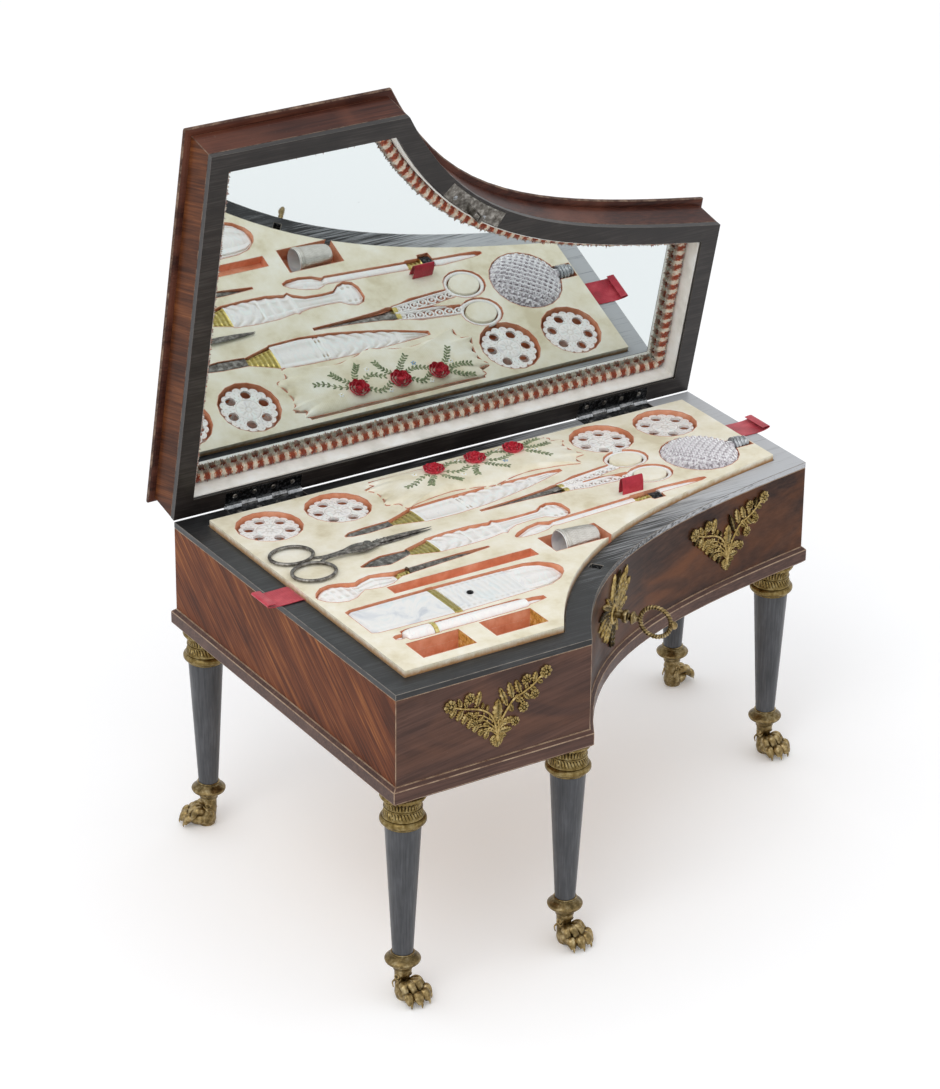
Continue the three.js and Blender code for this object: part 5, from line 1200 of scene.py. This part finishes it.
def reel_disc(thick):
    """A pierced disc with its upper face at z = 0, six sectors and a middle."""
    half = math.pi / 6
    arc = np.linspace(-half, half, 37)
    lobes = reel_radius * (0.9 + 0.1 * np.abs(np.cos(9 * arc)) ** 0.6)
    far = np.stack([lobes * np.cos(arc), lobes * np.sin(arc)], -1)
    near = 0.42 * reel_radius * np.stack([np.cos(arc[::-3]), np.sin(arc[::-3])], -1)
    side = np.linspace(near[-1], far[0], 12)
    edge = np.concatenate([far, side[::-1][1:-1] * [1, -1], near, side[1:-1], far[:1]])
    hole_at = np.array([0.67 * reel_radius, 0])
    turn = np.arctan2(*(edge - hole_at).T[::-1])
    hole = hole_at + 2.7 * np.stack([np.cos(turn), np.sin(turn)], -1)
    s = np.linspace(0, 1, 14)[:, None, None]
    faces = []
    for grid in (hole * (1 - s) + edge * s, near * s):
        for level in (0, -thick):
            z = carved(grid[..., 0], grid[..., 1]) * (level == 0) + level
            faces.append(skin(np.concatenate([grid, z[..., None]], -1)))
    for line in (hole, far):
        z = carved(*line.T)
        faces.append(skin(np.stack([np.column_stack([line, z]), np.column_stack([line, 0 * z - thick])])))
    return joined(*[moved(joined(*faces), turn=60 * k + 30) for k in range(6)])


DISC_THICK = 1.3
disc = reel_disc(DISC_THICK)
hub = turned([(0, 0.4), (6.2, 0.4), (6.0, 1.6), (5.6, 4.8), (6.0, 8), (6.2, 9.0), (0, 9.0)], 40)
reel = joined(moved(disc, (0, 0, reel_tall)), moved(disc, (0, 0, DISC_THICK)), hub)
for k, name in enumerate(("reel_a", "reel_b", "reel_c", "reel_d")):
    foot = [*spot(name)[:2], span(name)[0][2]]
    piece(name + "_carved", [(put(reel, foot, math.degrees(k * 0.3)), pearl)], name, [name],
          40)
print("reels 4")

# %% [markdown]
# ## Pearl and steel tools
# The CAD tools are bars made of a few rings. Their rings are read back from the frame and drawn again
# with many more, so the fine piece keeps the outline of its well, a quarter of a millimetre wider. Each
# tool is split along its length into steel, gilt and pearl, and the pearl is carved with flutes, scales
# or slanting veins. Every stretch is raised until its top is level with the silk, and the top of the
# long knife's blade is cut flat a little lower, because the open scissors swing over it.

# %% Rings of a CAD bar, drawn finer
def rings_of(node):
    """Rows of x, low y, high y, low z, high z for each ring of a CAD bar, in millimetres of the drawing."""
    co = (vectors(frame["nodes"][node].data.vertices, "co") - corner) / MM
    places = np.round(co[:, 0], 2)
    rings = [(x, co[places == x]) for x in np.unique(places)]
    return np.array([(x, *r[:, 1:].min(0), *r[:, 1:].max(0)) for x, r in rings if len(r) > 5])


WELL_PLAY = 0.25
CARVING = 1.6


def bar(rows, start, end, sections, sides, roundness, carve=None):
    """The stretch of a bar from start to end: rounded boxes, whose top carve(share, across) lowers."""
    x = np.linspace(start, end, sections)
    low_y, low_z, high_y, high_z = (np.interp(x, rows[:, 0], rows[:, k])[:, None] for k in (1, 2, 3, 4))
    a = around(sides)[None]
    side = np.sign(np.cos(a)) * np.abs(np.cos(a)) ** roundness
    up = np.sign(np.sin(a)) * np.abs(np.sin(a)) ** roundness
    y = (low_y + high_y) / 2 + ((high_y - low_y) / 2 + WELL_PLAY) * side
    z = (low_z + high_z) / 2 + (high_z - low_z) / 2 * up
    if carve:
        z = z - CARVING * carve(np.linspace(0, 1, sections)[:, None], side) * np.clip(up, 0, 1)
    points = np.stack([x[:, None] + 0 * a, y, z], -1)
    ends = [points[k].mean(0)[None, None] + np.zeros((1, sides + 1, 3)) for k in (0, -1)]
    return skin(np.concatenate([ends[0], points, ends[1]]))


def fading(share, start, end):
    """0 at both ends of a stretch and 1 between, over the given shares of its length."""
    return np.clip(share / start, 0, 1) * np.clip((1 - share) / end, 0, 1)


def flutes(number, depth, fade=0.1):
    """Lengthways flutes: cosine ripples across the bar that fade out at both ends."""
    def carve(share, across):
        return depth * fading(share, fade, fade) * (0.5 - 0.5 * np.cos(number * math.pi * across))
    return carve


def scales(rows_of, number, depth):
    """Overlapping scale pattern, as on the fan ferrules and the reeded bands."""
    def carve(share, across):
        waves = np.sin(rows_of * math.pi * share) * np.sin(number * math.pi * across / 2)
        return depth * np.abs(waves)
    return carve


def vees(number, depth):
    """Slanting veins that meet on the middle line, like a feather."""
    def carve(share, across):
        wave = np.cos(FULL * (number * share + 1.2 * np.abs(across)))
        return depth * fading(share, 0.08, 0.05) * (0.5 - 0.5 * wave)
    return carve


tools = {
    "knife_long": [
        (0, 25.6, steel_dark, None, 0.8), (25.6, 41.4, gilt_fine, scales(6, 7, 0.4), 0.5),
        (41.4, 66, pearl, flutes(2, 0.4), 0.3), (66, 70, pearl, scales(2, 5, 0.6), 0.4),
        (70, 112, pearl, vees(6, 0.5), 0.3), (112, 128, pearl, flutes(3, 0.5, 0.2), 0.4)],
    "knife_waisted": [
        (0, 26.4, steel_dark, None, 0.8), (26.4, 40.8, gilt_fine, scales(6, 7, 0.4), 0.5),
        (40.8, 60, pearl, vees(3, 0.5), 0.35), (60, 78, pearl, scales(3, 3, 0.5), 0.35),
        (78, 107, pearl, flutes(3, 0.45), 0.35), (107, 117, pearl, scales(3, 5, 0.4), 0.4)],
    "stiletto": [(0, 20, pearl, scales(5, 3, 0.35), 0.6), (20, 43, pearl, flutes(3, 0.35), 0.7),
                 (43, 50, gilt_fine, scales(4, 2, 0.3), 0.9), (50, 96, steel_dark, None, 1.0)],
    "tambour_hook": [(0, 24, pearl, flutes(2, 0.25), 0.8), (24, 71, pearl, None, 0.8),
                     (71, 80, gilt_fine, scales(4, 2, 0.35), 0.9), (80, 87, iron, None, 0.9),
                     (87, 115, pearl, None, 0.8)],
    "needle_case": [
        (0, 43, pearl_grey, flutes(9, 0.12, 0.03), 0.3), (43, 47.4, gilt_fine, scales(9, 9, 0.3), 0.3),
        (47.4, 84, pearl_grey, scales(12, 9, 0.2), 0.3), (84, 109.5, pearl, flutes(11, 0.6, 0.2), 0.4)],
}
BLADE_UNDER, BLADE_SHARE = 0.1, 0.8
STUD_AT = 59
for name, stretches in tools.items():
    rows = rings_of(name)
    start = rows[0, 0]
    parts = []
    for a0, a1, look, carve, roundness in stretches:
        a1 = min(a1, rows[-1, 0] - start)
        shape = bar(rows, start + a0, start + a1, max(12, int((a1 - a0) * 2.4)), 48, roundness, carve)
        high = shape[0][:, 2]
        flush = tray_top + 0.05 - high.max()
        if look is steel_dark:
            flush = tray_top + (-BLADE_UNDER - np.quantile(high, BLADE_SHARE))
        if name == "knife_long" and look is steel_dark:
            shape[0][:, 2] = np.minimum(high, tray_top - BLADE_UNDER - flush)
        elif name == "knife_long":
            flush -= 0.15
        parts.append((put(shape, (0, 0, flush)), look))
    if name == "needle_case":
        stud = blob(1.7, (1, 1, 0.5), 14)
        parts.append((put(stud, (start + STUD_AT, spot(name)[1], tray_top + 0.2)), iron))
    piece(name + "_fine", parts, name, [name], 42)
print("bars", len(tools))

# %% [markdown]
# ## Turned tools, thimble and flask
# The barrel case and the thimble are turned. The flask is a thick disc of glass cut all over into small
# four-sided points: the samples of its height stand at a quarter of the cut's pitch, so every ridge and
# every point is met exactly, and samples beyond the rim are drawn in to it.

# %% Barrel case, thimble, flask and cap
def laid(surface):
    """A shape turned about z, laid along x."""
    x, y, z = surface[0].T
    return np.stack([z, y, -x], -1), surface[1]


def left_end(node):
    """The middle of a CAD node's left end."""
    return np.array([span(node)[0][0], *spot(node)[1:]])


barrel_rows = [
    (0, 0), (1.2, 0.1), (1.9, 1.4), (1.9, 3.4), (1.2, 4.8), (4.0, 5.4), (4.9, 8.2), (5.0, 12),
    (5.0, 18), (4.6, 18.9), (4.4, 21.6), (4.5, 40), (4.4, 56), (4.1, 68), (3.9, 70), (2.4, 70.4),
    (2.1, 75), (1.6, 78), (1.0, 80), (0, 80)]
band = turned([(0, 18.7), (4.6, 18.7), (5.15, 19.0), (5.15, 20.8), (4.6, 21.1), (0, 21.1)], 40)
barrel = turned(flowing(barrel_rows, 150), 40)
parts = [(put(laid(shape), left_end("barrel_case")), look)
         for shape, look in ((barrel, pearl), (band, gilt_fine))]
piece("barrel_case_turned", parts, "barrel_case", ["barrel_case"])

low, high = span("thimble")
long = high[0] - low[0]
thimble_rows = np.array([
    (0.33, 0.0), (0.35, 0.01), (0.352, 0.04), (0.33, 0.05), (0.345, 0.062), (0.345, 0.085),
    (0.325, 0.095), (0.33, 0.13), (0.33, 0.14), (0.322, 0.3), (0.305, 0.6), (0.28, 0.82), (0.24, 0.93),
    (0.14, 0.99), (0.0, 1.0)])
inside = np.array([(0.0, 0.955), (0.2, 0.92), (0.265, 0.7), (0.3, 0.3), (0.318, 0.0), (0.33, 0.0)]) * long


def dimples(angle, share):
    """Small pits in staggered rows over the body of the thimble."""
    pits = np.clip(np.cos(34 * angle + math.pi * np.floor(share * 34)) * np.cos(FULL * share * 34), 0, 1)
    return 1 - 0.03 * pits * (share > 0.42)


outside, lined = turned(flowing(thimble_rows * long, 140), 136, dimples), turned(flowing(inside, 30), 136)
parts = [(put(laid(shape), left_end("thimble")), look)
         for shape, look in ((outside, silver), (lined, pearl_grey))]
piece("thimble_dimpled", parts, "thimble", ["thimble"], 60)

low, high = span("flask")
radius, thick = 19.6, high[2] - low[2]
flask_at = left_end("flask") + [radius, 0, 0]
pitch = 3.0
step = np.arange(-28, 29) * pitch / 4
gx, gy = np.meshgrid(step, step, indexing="ij")
reach = np.hypot(gx, gy)
inside_rim = np.minimum(1, radius / np.maximum(reach, 0.001))
x, y = gx * inside_rim, gy * inside_rim
r = np.minimum(reach / radius, 1)
away = np.maximum(np.abs((gx / pitch) % 1 - 0.5), np.abs((gy / pitch) % 1 - 0.5)) * 2
dome = thick / 2 * np.clip(1 - r**5, 0, 1) ** 0.5 * (1 - 0.18 * r**2)
cut = away * (r < 0.97)
height = np.where(r < 1, np.maximum(dome - cut, 0.4), 0)
c, s = math.cos(math.radians(38)), math.sin(math.radians(38))
upper, lower = (np.stack([x * c - y * s, x * s + y * c, way * height], -1) for way in (1, -1))
neck = turned([(0, 17), (3.3, 17), (2.8, 19.5), (2.6, 22), (2.6, 24.6), (0, 24.6)], 24)
glass = joined(skin(upper), skin(lower), laid(neck))
piece("flask_cut", [(put(glass, flask_at), crystal)], "flask", ["flask"], 20)

cap_rows = [
    (0, 19.8), (2.9, 19.9), (4.4, 20.0), (4.5, 21.0), (3.7, 21.4), (4.4, 21.9), (4.5, 23), (3.7, 23.4),
    (4.3, 24.0), (4.4, 25.0), (3.6, 25.6), (3.3, 26.4), (3.8, 27.0), (3.6, 28.0), (2.4, 28.9),
    (0, 29.2)]
cap = put(laid(turned(flowing(cap_rows, 90), 32)), flask_at)
piece("flask_cap_turned", [(cap, steel)], "flask_cap", ["flask_cap"], 40)
print("turned tools 4, facets of the flask", len(glass[1]))

# %% [markdown]
# ## Scissors
# Each half of the scissors has an oval ring, an arm and a blade. The ring is a closed tube, and the arm
# is a bar along its own path with knops near the pivot. The pearl pair has carved openwork handles: a
# chain of small rings between two rails. A disc of silk lies inside each of its large rings and stays
# with the tray.

# %% Steel and pearl scissors
def ring(x, y, wide, tall, thick, flat=1.0, steps=64):
    """An oval ring of round wire lying flat."""
    b, a = around(steps)[:, None], around(14)[None]
    out = thick / 2 * np.cos(a)
    return skin(np.stack([x + (wide - thick / 2 + out) * np.cos(b), y + (tall - thick / 2 + out) * np.sin(b),
                          thick / 2 * (1 + flat * np.sin(a)) + 0 * b], -1))


def mirrored(side, rows):
    """Rows of x and y, with y on the side of one half."""
    return np.array(rows) * [1, side]


def steel_half(upper):
    """Ring, arm, knops and blade of one half; the lower one carries the pivot."""
    side, lift = (-1, 1.25) if upper else (1, 0.0)
    arm = mirrored(side, [(-27.4, 3.6), (-22, 2.0), (-12, 1.9), (-5, 3.2), (0, 2.2), (5.5, 1.4)])
    wide = swelling([1.0, 1.1, 1.6, 2.3, 2.6, 1.2], 50)
    bow = ring(-35.6, side * 10.1, 11.6, 9.8, 1.8)
    parts = [moved(bow, (0, 0, 0.35)), wire(arm, 50, 0.65 + lift, wide, 12, 0.36)]
    for x, r in ((6.4, 1.7), (8.4, 1.35), (10.2, 1.6), (12.0, 1.3)):
        parts.append(moved(blob(r, (0.6, 1, 0.42), 10), (x, side * -0.35, 0.7 + lift)))
    blade = mirrored(-side, [(4, 0.4), (14, 0.35), (24, 0.2), (36, 0)])
    parts.append(wire(blade, 30, 0.6 + lift * 0.85, swelling([1.6, 1.75, 1.35, 0.25], 30), 8, 0.34))
    if not upper:
        parts.append(turned([(0, 0.6), (1.5, 0.6), (1.5, 2.6), (2.1, 2.6), (1.9, 3.0), (0, 3.1)], 24))
    return joined(*parts)


steel_at = np.array([61.5, -77.0, tray_top])
for half, body in (("lower", "steel_scissors"), ("upper", "steel_scissors_arm")):
    shape = put(steel_half(half == "upper"), steel_at, 1.6)
    node = "steel_scissors_" + half
    piece(node + "_fine", [(shape, steel_dark)], body, [node], 45)


def pearl_half(upper):
    """Handle, blade and ferrule of one half, each with its own material."""
    side = 1 if upper else -1
    rails = []
    for a, b in (((6.6, 0.5), (44, 1.4)), ((6.6, 4.4), (43, 8.2))):
        middle = ((a[0] + b[0]) / 2, (a[1] + b[1]) / 2 * 1.04)
        rails.append(wire(mirrored(side, [a, middle, b]), 30, 1.3, 0.75, 10, 1.5))
    for x, y, r in ((10.2, 2.5, 1.9), (14.6, 3.2, 2.2), (19.6, 3.6, 2.5), (25, 4.2, 2.7), (30.6, 4.6, 2.7),
                    (36.2, 5.0, 2.8), (41.6, 5.6, 2.6)):
        rails.append(moved(ring(0, 0, r, r * 0.9, 1.0, 1.6, 28), (x, side * y, 0.7)))
        rails.append(moved(blob(0.8, (1, 1, 1.2), 7), (x, side * y, 1.6)))
    rails.append(ring(52.5, side * 10.2, 11.6, 9.7, 2.2, 1.1))
    rails.append(wire(mirrored(side, [(42.5, 5.2), (44.5, 4.0), (46.5, 3.0)]), 12, 1.3, 1.3, 10))
    line = mirrored(side, [(-41, 0), (-20, 0.5), (-2, 0.8), (6.4, 1.6)])
    blade = wire(line, 40, 1.3 + side * 0.55, swelling([0.2, 1.1, 1.8, 2.2], 40), 8, 0.3)
    ferrule = tube([(6.0, side * 2.2, 1.3), (8.6, side * 2.3, 1.3)], 2.3, 16, flat=0.7)
    return joined(*rails), blade, ferrule


pearl_at = np.array([170.0, -69.0, tray_top - 2.6])
for half in ("lower", "upper"):
    handle, blade, ferrule = (put(s, pearl_at, 2) for s in pearl_half(half == "upper"))
    piece(f"pearl_scissors_{half}_fine", [(handle, pearl), (blade, steel_dark), (ferrule, gilt_fine)],
          "pearl_scissors", [f"pearl_scissors_{half}"], 45)
island = turned([(0, -4), (8.5, -4), (8.6, -0.3), (8.4, -0.02), (7.9, 0.06), (0, 0.06)], 48)
islands = [moved(stretched(island, (1, 0.8, 1)), (52.5, side * 10.2, 2.6)) for side in (-1, 1)]
piece("ring_islands", [(put(joined(*islands), pearl_at, 2), silk)], "tray")
print("scissors 2 pairs")

# %% [markdown]
# ## Key
# The key stands in the lock with a roped ring for its bow. The rope is a tube whose thickness ripples
# as it goes round, and the shank is turned with collars. Its bow stands upright and its bit hangs down.

# %% Key
key_at, key_out = (np.array(joints["key_turn"][fact]) for fact in ("pos_m", "axis"))
key_side = np.cross([0, 0, 1], key_out)
bow_radius = 7.6
bow_at = 14.6 + bow_radius
shank_line = [
    (0, -9.4), (1.7, -9.3), (1.7, 5.4), (3.1, 6.2), (3.3, 7.2), (3.1, 8.2), (1.9, 8.8), (1.9, 9.8),
    (3.0, 10.4), (3.1, 11.2), (2.1, 12.2), (1.5, 13.2), (1.5, 14.8), (0, 14.9)]
shank = turned(flowing(shank_line, 90), 24)
b, a = around(160)[:, None], around(14)[None]
rope = 1.05 * (1 + 0.18 * np.sin(32 * b + 2 * a))
reach = bow_radius + rope * np.cos(a)
bow = skin(np.stack([rope * np.sin(a), reach * np.sin(b), bow_at + reach * np.cos(b)], -1))
loop = np.array([(-0.65, -5), (0.65, -5), (0.65, 0), (-0.65, 0), (-0.65, -5)])
levels = ((0, -9.4), (1, -9.4), (1, -6.8), (0, -6.8))
bit = skin([np.column_stack([loop * s + (1 - s) * np.array([0, -2.5]), np.full(5, z)]) for s, z in levels])
knob = moved(blob(2.1, (0.8, 1, 1.0), 14), (0, 0, bow_at + bow_radius + 1.2))
points, faces = joined(shank, bow, bit, knob)
points = key_at + points @ np.stack([key_side, [0, 0, 1], key_out]) * MM
piece("key_roped", [((points, faces), gilt_paw)], "key", ["key"], 50)
print("key", round(bow_at + bow_radius), "mm long")

# %% [markdown]
# ## Ribbons
# Two pulls of red satin lift the tray and a small loop holds the hook. A ribbon is a sheet: its path is
# drawn once and carried across its width, so its flat length is the length of the path. The pulls lie
# over the rim and end in a fold that is rolled back under itself.

# %% Ribbons
def ribbon(path, across, thick=0.25):
    """A thin closed sheet along a path: the path and a copy beside it, joined at the edges."""
    path = np.asarray(path, float)
    way = np.gradient(path, axis=0)
    way /= np.linalg.norm(way, axis=1)[:, None]
    across = np.asarray(across, float)
    face = np.cross(way, across / np.linalg.norm(across)) * thick / 2
    w = np.linspace(-0.5, 0.5, 9)[None, :, None]
    middle = path[:, None] + across * w
    upper, lower = middle + face[:, None], middle - face[:, None]
    loop = np.concatenate([upper, lower[:, ::-1], upper[:, :1]], 1)
    rims = np.concatenate([middle, middle[:, ::-1], middle[:, :1]], 1)
    length = np.linalg.norm(np.diff(path, axis=0), axis=1).sum()
    return skin(np.concatenate([rims[:1], loop, rims[-1:]])), length


PULL_WIDE = 15.4
for name, way, lift in (("ribbon_pull_left", -1, 0.0), ("ribbon_pull_right", 1, 0.5)):
    low, high = span(name)
    long = high[0] - low[0]
    edge = low[0] if way > 0 else high[0]
    rows = [(0, -4.4), (0.8, -2.62), (0.4 * long, -2.62), (0.68 * long, -2.6),
            (0.86 * long, -2.4 + 0.6 * lift), (long - 0.8, -2 + lift), (long, -1.4 + lift),
            (long - 0.9, -0.8 + lift), (long - 4.5, -1.1 + lift)]
    line = flowing(rows, 80)
    path = np.stack([edge + way * line[:, 0], np.full(80, spot(name)[1]), tray_top + line[:, 1]], -1)
    sheet, length = ribbon(path, (0, PULL_WIDE, 0))
    obj = piece(name + "_satin", [(place(sheet), satin)], "tray", [name], 60)

low, high = span("ribbon_loop")
loop_at = spot("ribbon_loop")
b = np.linspace(-0.15, math.pi + 0.15, 40)
deep = min((high[1] - low[1]) / 2, 1.7)
tall = high[2] - tray_top
rise = tray_top - 0.4 + (tall + 0.2) * np.clip(np.sin(b), 0, 1) ** 0.7
arch = np.stack([np.full(40, loop_at[0]), loop_at[1] + deep * np.cos(b), rise], -1)
sheet, length = ribbon(arch, (high[0] - low[0], 0, 0))
obj = piece("ribbon_loop_satin", [(place(sheet), satin)], "tray", ["ribbon_loop"], 60)
print("ribbons 3")

# %% [markdown]
# ## Small screws
# Each hinge leaf and the strike plate is held by countersunk screws: a low dome with a slot.

# %% Screws
def screw(radius):
    """A low dome with a straight slot cut across it."""
    r, a = np.linspace(0, 1, 12)[:, None], around(32)[None]
    x, y = radius * r * np.cos(a), radius * r * np.sin(a)
    z = 0.35 * (1 - r**4) - 0.3 * (np.abs(y) < radius * 0.17) * (r < 0.97) + 0 * a
    base = np.stack([x[-1:], y[-1:], 0 * x[-1:] - 0.3], -1)
    return skin(np.concatenate([np.stack([x, y, z], -1), base, base * [0, 0, 1]]))


ROW, SUNK = -5.6, 0.42
head = screw(1.3)
hung = stretched(head, (1, 1, -1))
case_screws, lid_screws = [], []
for side in ("left", "right"):
    low, high = span(f"hinge_{side}_case_leaf")
    for k, share in enumerate(np.linspace(-0.76, 0.76, 4)):
        x = (low[0] + high[0]) / 2 + share * (high[0] - low[0]) / 2
        case_screws.append((put(head, (x, ROW, hinge_high - SUNK), 35 * k), steel_dark))
        lid_screws.append((on_lid(moved(hung, (x, ROW, SUNK), 50 * k)), steel_dark))
for x, y in ((136, -153), (154, -138)):
    lid_screws.append((on_lid(moved(hung, (x, y, SUNK))), steel))
piece("hinge_screws_case", case_screws, "case")
piece("hinge_screws_lid", lid_screws, "lid")
print("screws", len(case_screws) + len(lid_screws))
